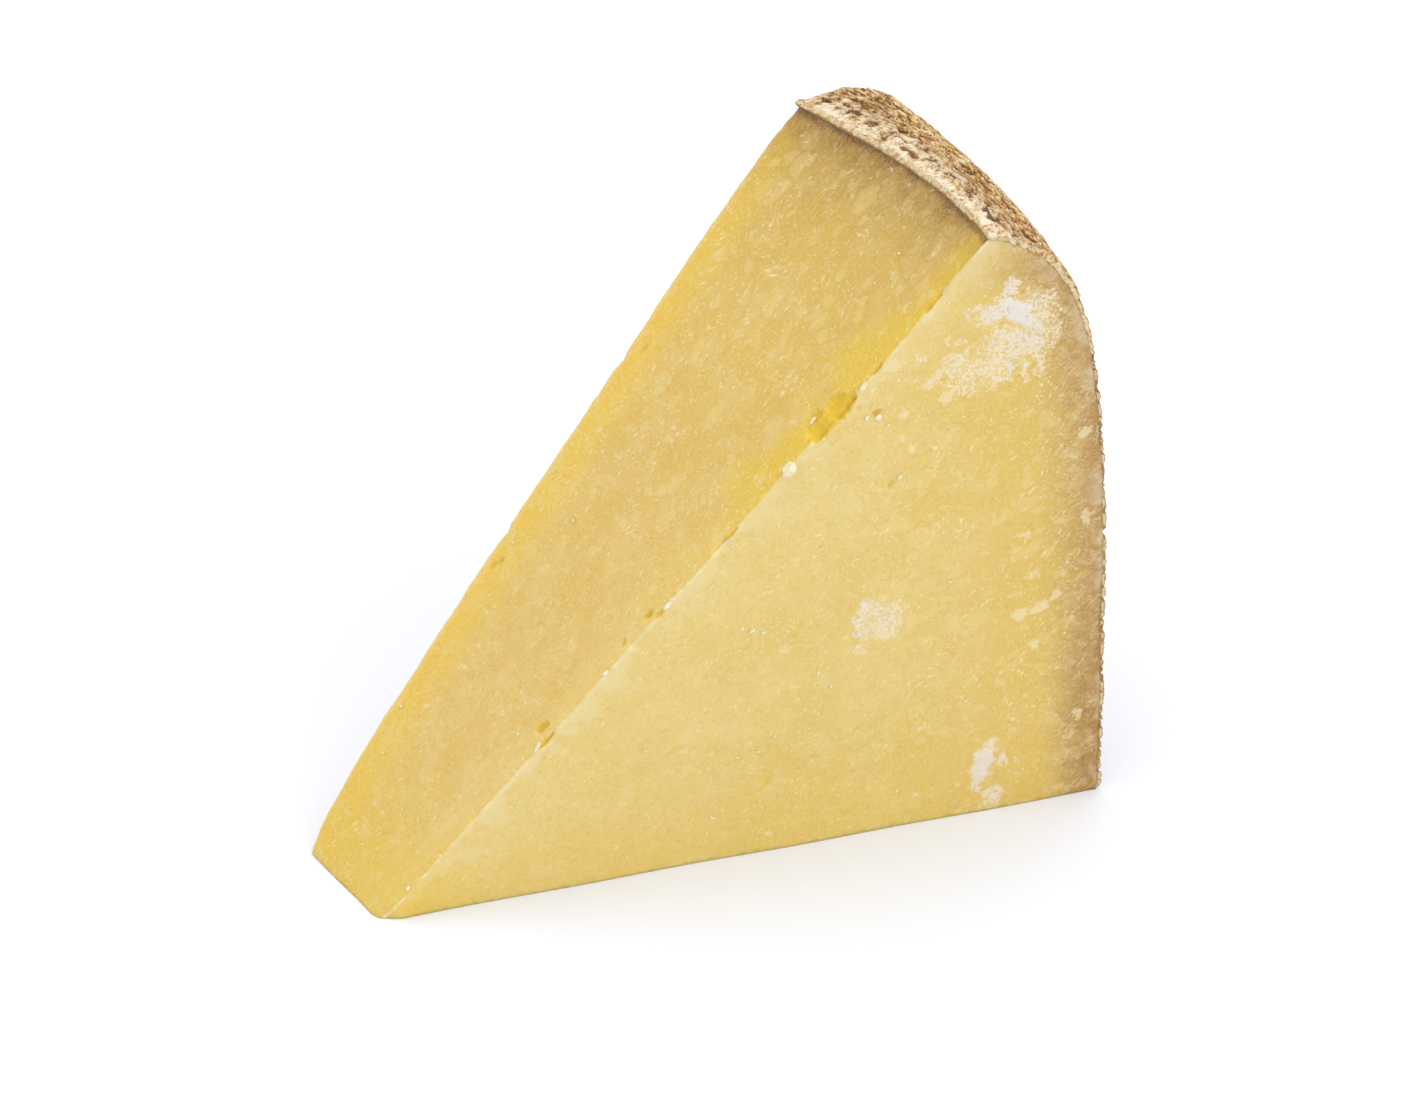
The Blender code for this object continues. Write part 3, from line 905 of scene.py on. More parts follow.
def build_paste():
    """The paste's base shell: five faces that share their edges' points."""
    shell = Shell()

    def chain(start, points, end):
        """An edge's indices between two corners that are stored already."""
        return np.r_[start, shell.add(points[1:-1]), end]

    rise_front, rise_back = ridge_top(np.array((0.0, 1.0)))
    tip_front, tip_back = shell.add(np.vstack([TIP_FRONT, TIP_BACK]))
    ridge_points = onto_radial(-1, slant_place(spaced(SLANT_LENGTH, EDGE_STEP) * rise_front, 0.0))
    back_points = onto_radial(1, slant_place(spaced(SLANT_LENGTH, BACK_EDGE_STEP) * rise_back, 1.0))
    tip_points = slant_place(0.0, spaced(TIP_WIDTH, BACK_EDGE_STEP))
    tip_points[:, 2] = 0.0
    top_front, top_back = shell.add(np.vstack([ridge_points[-1], back_points[-1]]))
    ridge = chain(tip_front, ridge_points, top_front)
    back_edge = chain(tip_back, back_points, top_back)
    tip = chain(tip_front, tip_points, tip_back)

    def crust_chain(side, top, top_point):
        """The edge between an upright cut and the rind, from the foot to the top."""
        reach = float(run_at_radius(wheel_place(top_point[None])[0])[0])
        runs = spaced(reach, CRUST_EDGE_STEP) * reach
        points = onto_radial(side, paste_outer(np.full(len(runs), side * HALF_ANGLE), runs))
        foot = shell.add(points[0])[0]
        return chain(foot, points, top), points[0]

    front_crust, foot_front_point = crust_chain(-1, top_front, ridge_points[-1])
    back_crust, foot_back_point = crust_chain(1, top_back, back_points[-1])
    across = spaced(TOP_LENGTH, CRUST_EDGE_STEP)
    top = chain(top_front, slant_place(ridge_top(across), across), top_back)

    def foot_chain(side, first, start, end, end_point):
        """The edge between an upright cut and the foot, from the tip to the rind."""
        last = float(radial_flat(side, end_point)[0])
        radii = first + (last - first) * spaced(last - first, FOOT_EDGE_STEP)
        return chain(start, radial_place(side, radii, np.zeros(len(radii))), end)

    foot_front = foot_chain(-1, TIP_RADIUS_FRONT, tip_front, front_crust[0], foot_front_point)
    foot_back = foot_chain(1, TIP_RADIUS_BACK, tip_back, back_crust[0], foot_back_point)
    angles = HALF_ANGLE * (2 * spaced(RIND_WIDTH, FOOT_CRUST_STEP) - 1)
    crust_foot = paste_outer(angles, np.zeros(len(angles)))
    foot_crust = chain(front_crust[0], crust_foot, back_crust[0])
    points = shell.points()

    def even(step):
        """The same mesh step everywhere."""
        return lambda flat: np.full(len(flat), step)

    def upright(side):
        """From points to an upright cut's flat places, and back."""
        return (lambda p: radial_flat(side, p)), (lambda f: radial_place(side, f[:, 0], f[:, 1]))

    fine = (BACK_STEP, FACE_STEP, MIDDLE_STEP, FINE_STEP)
    hidden = (even(HIDDEN_STEP), (HIDDEN_STEP,))
    faces = (
        (FRONT, ring(foot_front, front_crust, ridge[::-1]), *upright(-1),
         front_wanted, fine, CUT_NORMALS[-1]),
        (SLANT, ring(ridge, top, back_edge[::-1], tip[::-1]), slant_flat, slant_from_flat,
         slant_wanted, fine, SLANT_NORMAL),
        (BACK, ring(foot_back, back_crust, back_edge[::-1]), *upright(1),
         even(BACK_STEP), (BACK_STEP,), CUT_NORMALS[1]),
        (FOOT, ring(foot_front, foot_crust, foot_back[::-1], tip[::-1]),
         lambda p: p[:, :2], lambda f: np.c_[f, np.zeros(len(f))], *hidden, FOOT_NORMAL),
        (OUTER, ring(foot_crust, back_crust, top[::-1], front_crust[::-1]), outer_flat,
         lambda f: paste_outer(f[:, 0] / WHEEL_RADIUS, f[:, 1]), *hidden, np.array([1.0, 0, 0])),
    )
    for kind, loop, to_flat, to_place, wanted, steps, outward in faces:
        border = to_flat(points[loop])
        seed = PATCH_SEED + 10 * kind
        inner_points = to_place(graded_points(border, wanted, seed, steps))
        inner = shell.add(inner_points)
        shell.patch(loop, border, inner, to_flat(inner_points), outward, kind)
    return shell.closed()[1:]


# Soft uneven patches that the paste's colour follows: a name, the lumps' size in
# mm, and how many layers of noise, each finer and weaker than the last.
PATCHES = (
    ("broad", 22.0, 2), ("wander", 12.0, 2), ("patch", 5.0, 3),
    ("other", 6.0, 3), ("worn", 3.2, 3), ("gather", 2.6, 3),
)


# ---- the mould
def lobe_field(flat, lobes):
    """The strongest of some soft ellipses at flat places."""
    field = np.zeros(len(flat))
    for radius, height, wide, tall, turn, strength in lobes:
        turn = math.radians(turn)
        x = flat[:, 0] - radius
        y = flat[:, 1] - height
        along = (x * math.cos(turn) + y * math.sin(turn)) / wide
        over = (y * math.cos(turn) - x * math.sin(turn)) / tall
        inside = ramp(np.hypot(along, over), LOBE_OUTSIDE, LOBE_INSIDE)
        field = np.maximum(field, strength * inside)
    return field


def ragged(flat, size, amount, seed):
    """Flat places pushed about, which gives soft ellipses a ragged outline."""
    push = [rough_noise(flat / size, seed + 5 * axis, 3, 0.6) for axis in (0, 1)]
    return flat + amount * np.stack(push, axis=1)


def mould_cover(flat):
    """How thickly mould covers places of the front cut, 0 to about 1.3."""
    pushed = ragged(flat, 1.5, 0.9, 70)
    field = lobe_field(pushed, MOULD_LOBES)
    lumps = rough_noise(flat / 1.8, 78, 3) * 0.2 * (field > 0.02)
    return np.clip(field - lobe_field(pushed, MOULD_GAPS) + lumps, 0, 1.35)


def mould_growth(flat):
    """Where the mould stands up in grains, 0 to 1."""
    cover = mould_cover(flat)
    clumps = rough_noise(flat / 0.6, 71, 2) * 0.45 * (cover > 0.05)
    return ramp(cover + clumps, 0.42, 0.85)


# ---- torn hollows
def face_spot(face, first, second):
    """A listed place on a face: its point, and the axes along, beside and out of the face."""
    if face == "slant":
        across = min(1.0, max(0.0, second))
        point = slant_place(first, across) + SIDEWAYS * (second - across) * 40
        along, normal = UPHILL, SLANT_NORMAL
    else:
        point = radial_place(-1, first, second)
        along, normal = CUT_OUTWARDS[-1], CUT_NORMALS[-1]
    return point, along, np.cross(normal, along), normal


def turned_axes(along, beside, normal, degrees):
    """Axes turned about the face's normal."""
    turn = math.radians(degrees)
    forward = along * math.cos(turn) + beside * math.sin(turn)
    return np.stack([forward, np.cross(normal, forward), normal])


def carve(points, centre, axes, radii, push, seed, torn):
    """Push points out of a lumpy ellipsoid, in place, and note in torn how far they went."""
    away = points - centre
    index = np.flatnonzero(np.linalg.norm(away, axis=1) < 1.6 * max(radii))
    if len(index) == 0:
        return
    lump = 1 + 0.28 * smooth_noise(points[index] / (0.45 * min(radii[:2])), seed)
    local = away[index] @ axes.T / radii / lump[:, None]
    direction = axes @ push / radii
    square = (local**2).sum(axis=1)
    pace = direction @ direction
    ahead = local @ direction
    root = np.sqrt(np.maximum(0, ahead**2 + pace * (1 - square)))
    distance = np.where(square < 1, (root - ahead) / pace, 0)
    points[index] += distance[:, None] * push
    torn[index] = np.maximum(torn[index], distance)


def carve_hollows(points, torn):
    """Tear every listed hollow out of the paste, crumb by crumb."""
    draw = np.random.default_rng(5)
    for number, (face, first, second, length, width, depth, turn, crumbs) in enumerate(HOLLOWS):
        point, along, beside, normal = face_spot(face, first, second)
        push = -normal
        if face == "slant" and second < RIDGE_PART:
            push = -unit(SLANT_NORMAL + 0.45 * CUT_NORMALS[-1])
        axes = turned_axes(along, beside, normal, turn)
        share = 1.0 if crumbs == 1 else 1.0 / (0.5 + 0.5 * crumbs) ** 0.62
        for crumb in range(crumbs):
            ahead = (crumb - (crumbs - 1) / 2) / crumbs * 0.62 * length
            slip = draw.uniform(-0.22, 0.22) * width
            grow = draw.uniform(0.75, 1.15)
            radii = np.array([length / 2 * share, width / 2 * grow * 0.85, depth * grow])
            centre = point + axes[0] * ahead + axes[1] * slip
            carve(points, centre, axes, radii, push, 300 + 10 * number + crumb, torn)


# ---- fine relief
def face_relief(flat, streak_turn, seed):
    """Low relief of a cut face in mm: broad waves, curd grain and blade drag."""
    broad = rough_noise(flat / 12.0, seed, 2) * 0.09
    middle = rough_noise(flat / 3.2, seed + 5, 3) * 0.035
    turn = math.radians(streak_turn)
    along = flat @ (math.cos(turn), math.sin(turn))
    over = flat @ (-math.sin(turn), math.cos(turn))
    drag = rough_noise(np.stack([along / 6.0, over / 0.8], axis=1), seed + 9, 2) * 0.02
    _, gap, tag = cell_noise(flat / 3.4, seed + 12)
    curd = ramp(tag, 0.7, 0.85) * ramp(gap, 0.0, 0.12) * 0.05
    return broad + middle + drag + curd


def round_edge(points, first, second, first_normal, second_normal, width):
    """Round an edge between two faces, in place, by a width that varies from point to point."""
    radius = width / (math.sqrt(2) - 1)
    first_reach = np.maximum(0, radius - first)
    second_reach = np.maximum(0, radius - second)
    reach = np.hypot(first_reach, second_reach)
    over = np.maximum(0, reach - radius) / np.maximum(reach, 1e-9)
    points -= shifted(over * first_reach, first_normal)
    points -= shifted(over * second_reach, second_normal)


# How wide each edge is worn in mm: mean, swing, length of the swings, seed,
# least and most.
WORN_RIDGE = (0.3, 0.24, 2.3, 80, 0.06, 1.3)
WORN_BACK = (0.25, 0.1, 4.5, 82, 0.05, 0.9)
WORN_FOOT = (0.09, 0.05, 3.1, 83, 0.03, 0.2)
WORN_TIP = (0.16, 0.06, 2.7, 84, 0.05, 0.3)
FOOT_SHARPER = 0.35
LOW_RIDGE_WIDER = 1.1
LOW_BACK_WIDER = 0.6


def worn_width(distances, worn, more=0.0):
    """How wide an edge is worn at distances along it."""
    mean, swing, length, seed, least, most = worn
    return np.clip(mean + swing * line_noise(distances, length, seed) + more, least, most)


def shape_paste(points):
    """Give the paste its relief and return each vertex's looks."""
    front = radial_depth(-1, points)
    back = radial_depth(1, points)
    slant = slant_depth(points)
    radius, _, height = wheel_place(points)
    crust = nearest_on_outline(radius, height)[0]
    front_flat = radial_flat(-1, points)
    back_flat = radial_flat(1, points)
    up, side = slant_flat(points).T
    rise, across = slant_rise_across(points)
    mould = mould_cover(front_flat) * (front < 0.3)
    above_foot = ramp(height, 0.0, 1.5)

    def near(depth):
        """1 on a face, and less under it and towards the foot."""
        return (1 - ramp(depth, 0.05, 2.6)) * above_foot

    moved = points.copy()
    relief = face_relief(front_flat, 48, 10)
    relief += ramp(mould, 0.4, 0.8) * (0.03 + 0.06 * rough_noise(front_flat / 0.7, 72, 2))
    relief += 0.09 * ramp(mould, 0.9, 1.25)
    moved += shifted(relief * near(front), CUT_NORMALS[-1])
    moved += shifted(face_relief(back_flat, 80, 30) * near(back), CUT_NORMALS[1])
    relief = face_relief(np.stack([up, side], axis=1), 0, 50)
    relief -= 0.25 * ramp(crust, 2.6, 1.0) * (slant < 0.5) * ramp(across, 0.02, 0.12)
    moved += shifted(relief * near(slant), SLANT_NORMAL)

    torn = np.zeros(len(points))
    carve_hollows(moved, torn)

    # worn edges; near the foot, the two long ones keep their height so that the tip stays down
    level = moved[:, 2].copy()
    nicks = ramp(line_noise(up, 5.0, 81, 1), 0.25, 0.8)
    low = ramp(height, 5.0, 0.0)
    width = worn_width(up, WORN_RIDGE, 0.6 * nicks) + LOW_RIDGE_WIDER * low
    round_edge(moved, front, slant, CUT_NORMALS[-1], SLANT_NORMAL, width)
    width = worn_width(up, WORN_BACK) + LOW_BACK_WIDER * low
    round_edge(moved, back, slant, CUT_NORMALS[1], SLANT_NORMAL, width)
    moved[:, 2] += (level - moved[:, 2]) * ramp(height, 4.0, 0.0)
    width = worn_width(front_flat[:, 0], WORN_FOOT) * FOOT_SHARPER
    round_edge(moved, front, height, CUT_NORMALS[-1], FOOT_NORMAL, width)
    round_edge(moved, back, height, CUT_NORMALS[1], FOOT_NORMAL, width)
    round_edge(moved, slant, height, SLANT_NORMAL, FOOT_NORMAL, worn_width(side, WORN_TIP))
    looks = {
        "under_rind": crust,
        "ridge": np.maximum(front, 0) + np.maximum(slant, 0),
        "back_edge": np.maximum(back, 0) + np.maximum(slant, 0),
        "torn": np.clip(torn / TORN_FULLY, 0, 1),
        "mould": mould,
        "pale": lobe_field(ragged(front_flat, 1.1, 0.45, 90), PALE_LOBES) * (front < 0.3),
        "rise": rise,
    }
    for number, (name, size, octaves) in enumerate(PATCHES):
        lumps = rough_noise(points / size, 200 + 10 * number, octaves, 0.6)
        looks[name] = 0.5 + 0.27 * lumps
    return moved, looks


# ---- mesh objects
FACES_APART = 400.0


def store_mesh(name, points, triangles, material, smooth=True):
    """A mesh object from points in millimetres; smooth is one answer or one per triangle."""
    mesh = bpy.data.meshes.new(name)
    mesh.vertices.add(len(points))
    mesh.vertices.foreach_set("co", (points * MM).astype(np.float32).ravel())
    mesh.loops.add(triangles.size)
    mesh.loops.foreach_set("vertex_index", triangles.astype(np.int32).ravel())
    mesh.polygons.add(len(triangles))
    mesh.polygons.foreach_set("loop_start", np.arange(0, triangles.size, 3, dtype=np.int32))
    mesh.polygons.foreach_set("use_smooth", np.full(len(triangles), smooth))
    mesh.update(calc_edges=True)
    piece = bpy.data.objects.new(name, mesh)
    bpy.context.scene.collection.objects.link(piece)
    mesh.materials.append(material)
    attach(piece, "root")
    return piece


def store_look(piece, name, values, kind="FLOAT", domain="POINT"):
    """Store numbers or places for the material, per vertex or per corner."""
    look = piece.data.attributes.new(name, kind, domain)
    field = "value" if kind == "FLOAT" else "vector"
    look.data.foreach_set(field, np.asarray(values, np.float32).ravel())


def store_places(piece, flats, kinds):
    """Store each corner's flat place in millimetres, with the faces kept well apart."""
    places = np.zeros((len(kinds), 3, 3))
    places[..., :2] = flats
    places[..., 0] += kinds[:, None] * FACES_APART
    store_look(piece, "grain", places, "FLOAT_VECTOR", "CORNER")


def triangle_look(piece, name, values):
    """Store one number per triangle, for its three corners."""
    store_look(piece, name, np.repeat(values, 3), domain="CORNER")


# ---- materials
LIGHT_LEVEL = 1.2


def linear(red, green, blue):
    """The colour of a surface that shows these 0..255 values in the studio light."""
    parts = []
    for value in (red, green, blue):
        value /= 255
        value = value / 12.92 if value <= 0.04045 else ((value + 0.055) / 1.055) ** 2.4
        parts.append(value / LIGHT_LEVEL)
    return (*parts, 1.0)


class Nodes:
    """Short calls for building one material's nodes."""

    def __init__(self, name, dimensions="2D"):
        self.dimensions = dimensions
        self.material = bpy.data.materials.new(name)
        self.material.use_nodes = True
        self.tree = self.material.node_tree
        self.shader = self.tree.nodes["Principled BSDF"]

    def feed(self, node, inputs):
        """Link a node's sockets or set their values, by name or number."""
        for key, value in inputs.items():
            if isinstance(value, bpy.types.NodeSocket):
                self.tree.links.new(value, node.inputs[key])
            elif value is not None:
                node.inputs[key].default_value = value

    def node(self, kind, inputs, **settings):
        """A new node with some of its settings and its inputs."""
        node = self.tree.nodes.new("ShaderNode" + kind)
        for name, value in settings.items():
            setattr(node, name, value)
        self.feed(node, inputs)
        return node

    def look(self, name, kind="Fac"):
        """What the mesh stores under a name."""
        return self.node("Attribute", {}, attribute_name=name).outputs[kind]

    def object_place(self):
        """The place in the wedge, in millimetres."""
        return self.scaled(self.node("TexCoord", {}).outputs["Object"], (1000, 1000, 1000))

    def math(self, operation, *values):
        """One step of arithmetic."""
        return self.node("Math", dict(enumerate(values)), operation=operation).outputs[0]

    def sloped(self, value, slope, offset):
        """A value times a slope, plus an offset."""
        return self.math("MULTIPLY_ADD", value, slope, offset)

    def parts(self, vector):
        """The three parts of a vector."""
        return self.node("SeparateXYZ", {0: vector}).outputs

    def scaled(self, vector, scale):
        """A vector times three factors."""
        return self.node("VectorMath", {0: vector, 1: scale}, operation="MULTIPLY").outputs[0]

    def turned(self, vector, degrees):
        """A vector turned about its third axis."""
        inputs = {"Vector": vector, "Angle": math.radians(degrees)}
        return self.node("VectorRotate", inputs, rotation_type="Z_AXIS").outputs[0]

    def noise(self, vector, size, detail, rough):
        """Noise with lumps of a size in millimetres."""
        inputs = {"Vector": vector, "Scale": 1 / size, "Detail": detail, "Roughness": rough}
        return self.node("TexNoise", inputs, noise_dimensions=self.dimensions).outputs

    def bent(self, vector, size, amount):
        """A vector pushed about by soft noise with lumps of that size."""
        push = self.noise(vector, size, 1.0, 0.5)["Color"]
        inputs = {0: push, 1: (amount, amount, 0), 2: vector}
        return self.node("VectorMath", inputs, operation="MULTIPLY_ADD").outputs[0]

    def cloud(self, vector, size, detail=2.0, rough=0.5):
        """Noise from 0 to 1."""
        return self.noise(vector, size, detail, rough)["Fac"]

    def cells(self, vector, size, feature="F1"):
        """Cells of a size in millimetres."""
        settings = {"voronoi_dimensions": self.dimensions, "feature": feature}
        return self.node("TexVoronoi", {"Vector": vector, "Scale": 1 / size}, **settings).outputs

    def step(self, value, low, high, to_low=0.0, to_high=1.0):
        """A value mapped smoothly from low..high to 0..1 or another range."""
        inputs = {0: value, 1: low, 2: high, 3: to_low, 4: to_high}
        return self.node("MapRange", inputs, interpolation_type="SMOOTHSTEP").outputs["Result"]

    def times(self, *values):
        """The product of several values."""
        product = values[0]
        for value in values[1:]:
            product = self.math("MULTIPLY", product, value)
        return product

    def mix(self, amount, first, second):
        """A blend of two colours."""
        return self.node("Mix", {0: amount, 6: first, 7: second}, data_type="RGBA").outputs[2]

    def laid(self, color, shade, *amounts):
        """A colour with a shade laid over it, as strongly as the product of the amounts."""
        return self.mix(self.times(*amounts), color, linear(*shade))

    def shades(self, value, first, *middle, last):
        """A colour that runs through several, each a value and its red, green and blue."""
        node = self.node("ValToRGB", {"Fac": value})
        stops = node.color_ramp.elements
        for stop, (position, *shade) in zip(stops, (first, last)):
            stop.position = position
            stop.color = linear(*shade)
        for position, *shade in middle:
            stops.new(position).color = linear(*shade)
        return node.outputs["Color"]

    def bump(self, height, distance, strength):
        """Fine relief from a height of 0..1 that stands for a distance in millimetres."""
        inputs = {"Height": height, "Distance": distance * MM, "Strength": strength}
        return self.node("Bump", inputs).outputs["Normal"]

    def finish(self, color, roughness, relief, glow=None, **more):
        """Feed the shader; glow is how much light enters, how far each colour goes, and a scale."""
        self.feed(self.shader, {"Base Color": color, "Roughness": roughness, "Normal": relief})
        self.feed(self.shader, {name.replace("_", " "): value for name, value in more.items()})
        if glow:
            weight, radii, scale = glow
            self.feed(self.shader, {
                "Subsurface Weight": weight, "Subsurface Radius": radii,
                "Subsurface Scale": scale * MM})
        return self.material


def paste_material():
    """Pressed curd: waxy yellow with pale strokes and flecks, browner under the rind."""
    n = Nodes("cheese_paste")
    place = n.look("grain", "Vector")
    along, _, height = n.parts(n.object_place())
    rind = n.look("under_rind")
    ridge = n.look("ridge")
    rise = n.look("rise")
    slant = n.look("on_slant")
    upright = n.look("upright")
    gather = n.look("gather")

    # two yellows on each face, in soft patches
    broad = n.step(n.look("broad"), 0.35, 0.65)
    patch = n.step(n.look("patch"), 0.40, 0.64)
    other = n.step(n.look("other"), 0.44, 0.66)
    front_color = n.laid(linear(236, 208, 128), (231, 200, 106), broad)
    front_color = n.laid(front_color, (241, 216, 138), patch, 0.32)
    front_color = n.laid(front_color, (233, 201, 98), other, 0.3)
    front_color = n.laid(front_color, (240, 213, 132), n.step(ridge, 26, 2), 0.45)
    slant_color = n.laid(linear(234, 197, 108), (231, 191, 90), n.step(rise, 0.45, 0.8))
    slant_color = n.laid(slant_color, (239, 209, 132), patch, 0.35)
    slant_color = n.laid(slant_color, (228, 184, 82), other, 0.35)
    color = n.mix(slant, front_color, slant_color)

    # a yellower, more see-through band along both long edges of the slanting cut, and the tip:
    # painted glow of light coming through the thin paste
    wander = n.step(n.look("wander"), 0.3, 0.7, 4.0, 10.0)
    glow = n.times(n.step(n.math("DIVIDE", ridge, wander), 1.1, 0.45), slant)
    high = n.step(rise, 0.4, 0.7)
    low = n.math("SUBTRACT", 1.0, high)
    back_edge = n.look("back_edge")
    tip = n.step(along, -40, -57)
    # painted glow: saturated yellow where light would shine through the thin edges
    color = n.laid(color, (238, 200, 60), glow, high, 0.95)
    color = n.laid(color, (239, 211, 124), glow, low, 0.5)
    color = n.laid(color, (245, 205, 70), n.step(back_edge, 9.0, 2.5), slant, 0.7)
    color = n.laid(color, (243, 217, 142), n.step(back_edge, 1.6, 0.3), slant, 0.6)
    color = n.laid(color, (239, 200, 66), tip, n.sloped(slant, -0.2, 0.9))

    # browner towards the rind, a painted shadow line under the rind's lip, and yellower just above
    # the foot
    worn = n.math("SUBTRACT", n.look("worn"), 0.5)
    from_rind = n.sloped(worn, -3.4, rind)
    fading = n.math("EXPONENT", n.math("DIVIDE", n.math("SUBTRACT", 0.9, from_rind), 4.8))
    fading = n.math("MINIMUM", fading, 1.0)
    # painted shadow: a dark line on the slanting cut just under the rind's overhanging lip
    lip_shadow_line = n.step(n.sloped(worn, -0.8, rind), 1.6, 1.0)
    off_ridge = n.times(upright, n.step(ridge, 1.0, 11.0, 0.2, 1.0))
    color = n.laid(color, (145, 97, 26), fading, slant, n.step(ridge, 1.0, 9.0, 0.5, 1.0), 0.95)
    color = n.laid(color, (118, 80, 38), lip_shadow_line, slant, 0.7)
    color = n.laid(color, (238, 200, 88), n.step(height, 17.0, 1.0), off_ridge, 0.5)
    color = n.laid(color, (228, 189, 82), n.step(from_rind, 36.0, 8.0), off_ridge, 0.7)
    color = n.laid(color, (186, 143, 78), n.step(from_rind, 12.0, 1.0), off_ridge, 0.97)
    color = n.laid(color, (168, 126, 72), n.step(from_rind, 2.4, 0.6), off_ridge, 0.4)
    color = n.laid(color, (168, 120, 50), n.step(height, 40.0, 8.0), n.step(from_rind, 9.0, 2.0),
                   off_ridge, 0.7)

    # fine pale strokes along the way each cut was drawn, some long and some like dots
    loose = n.bent(n.bent(place, 9.0, 5.0), 2.4, 1.0)
    drawn = n.mix(slant, n.turned(loose, -48), loose)
    pale = (249, 234, 182)
    clear = n.times(n.step(rind, 0.5, 7.0, 0.2, 1.0), n.step(rise, 0.3, 0.7, 0.75, 1.0))
    for size, thin, least, amount, lie in (
            (0.50, 0.28, 0.64, 0.85, patch),
            (0.42, 0.60, 0.72, 0.90, broad),
            (0.25, 0.45, 0.35, 0.50, gather)):
        cell = n.cells(n.scaled(drawn, (thin, 1.0, 1.0)), size)
        tone = n.step(n.parts(cell["Color"])[0], least, 1.0)
        lie = n.step(lie, 0.36, 0.62, 0.3, 1.0)
        stroke = n.times(n.step(cell["Distance"], 0.34, 0.12), tone, lie, clear)
        color = n.laid(color, pale, stroke, amount)
    grain = n.cloud(n.scaled(drawn, (0.4, 1.0, 1.0)), 0.3, 3, 0.7)
    color = n.laid(color, pale, n.step(grain, 0.36, 0.64), 0.17)
    speck = n.step(n.cloud(drawn, 0.9, 3, 0.65), 0.54, 0.68)
    color = n.laid(color, (214, 172, 72), speck, 0.22)

    # pale many-sided flecks of curd, small and large
    for size, amount in ((1.3, 0.42), (2.8, 0.34)):
        scraps = n.scaled(n.bent(place, size, 0.5 * size), (0.7, 1.0, 1.0))
        picked = n.parts(n.cells(scraps, size)["Color"])
        within = n.cells(scraps, size, "DISTANCE_TO_EDGE")["Distance"]
        fleck = n.times(n.step(picked[0], 0.84, 0.87), n.step(within, 0.02, 0.16),
                        n.step(picked[1], 0.0, 0.7, 0.4, 1.0))
        color = n.laid(color, (242, 219, 150), fleck, clear, amount)
    scrap = n.step(n.sloped(n.cloud(place, 0.8, 3, 0.6), 0.8, n.look("pale")), 0.66, 1.0)
    color = n.laid(color, (246, 229, 180), scrap, 0.66)

    # short curled hairs
    curl = n.math("SUBTRACT", n.cloud(n.bent(place, 2.2, 2.4), 2.3, 1.0), 0.5)
    hairs = n.times(n.step(n.math("ABSOLUTE", curl), 0.012, 0.003), n.step(gather, 0.54, 0.62))
    color = n.laid(color, (249, 236, 194), hairs, 0.5)

    # dry bristles and dust in the paste next to the rind
    bristle = n.turned(n.bent(place, 3.0, 2.5), -35)
    bristle = n.cloud(n.scaled(bristle, (0.3, 1.0, 1.0)), 0.36, 3, 0.65)
    near_rind = n.times(n.step(rind, 13.0, 4.0), upright, n.step(gather, 0.34, 0.6))
    color = n.laid(color, (233, 214, 170), n.times(n.step(bristle, 0.50, 0.66), near_rind), 0.62)
    dusty = n.times(n.step(rind, 4.5, 1.0), upright, n.step(n.look("patch"), 0.44, 0.6))
    color = n.laid(color, (226, 206, 168), dusty, 0.5)

    # the pale worn edge of the ridge, and the deeper yellow of torn paste
    crumbly = n.step(n.cloud(place, 1.1, 3, 0.6), 0.36, 0.6, 0.2, 1.0)
    width = n.step(n.look("other"), 0.35, 0.65, 1.6, 7.0)
    edge = n.step(n.math("DIVIDE", ridge, width), 1.0, 0.1)
    color = n.laid(color, (238, 202, 64), tip, upright, 0.4)
    strength = n.sloped(low, 0.26, n.sloped(tip, -0.5, 0.46))
    color = n.laid(color, (243, 225, 168), edge, upright, strength)
    thin_edge = n.times(n.step(ridge, 0.9, 0.2), n.step(n.look("patch"), 0.44, 0.58), crumbly)
    color = n.laid(color, (247, 236, 198), thin_edge, upright, 0.75)
    color = n.laid(color, (245, 207, 62), n.look("torn"), 0.86)

    # mould: a thin film, a white net of grains, and a solid heart
    cover = n.look("mould")
    color = n.laid(color, (242, 224, 166), n.step(cover, 0.08, 0.5), 0.35)
    dots = n.cells(n.bent(place, 0.8, 0.5), 0.52)["Distance"]
    lace = n.sloped(n.cloud(place, 0.7, 3, 0.6), 2.2, -1.1)
    lace = n.math("ADD", lace, n.sloped(dots, -1.5, 0.66))
    lace = n.math("ADD", lace, n.sloped(gather, 1.6, -0.8))
    lace = n.times(lace, n.step(height, 21.0, 25.0, 0.35, 1.0))
    veil = n.times(n.step(cover, 0.03, 0.25), n.math("ADD", cover, lace))
    veil = n.step(veil, 0.26, 0.92)
    white = n.mix(n.step(cover, 0.45, 1.0), (0.79, 0.67, 0.47, 1), (0.78, 0.69, 0.57, 1))
    color = n.mix(n.times(veil, 0.85), color, white)
    heart = n.step(n.math("ADD", cover, n.times(lace, 0.25)), 0.85, 1.2)
    color = n.mix(heart, color, (0.765, 0.695, 0.62, 1))

    rough = n.sloped(veil, 0.3, n.sloped(gather, 0.22, 0.36))
    relief = n.bump(n.cloud(place, 0.45, 2, 0.65), 0.11, 0.7)
    return n.finish(color, rough, relief, glow=(0.35, (1.0, 0.62, 0.22), 2.2),
                    IOR=1.42, Specular_IOR_Level=0.35)


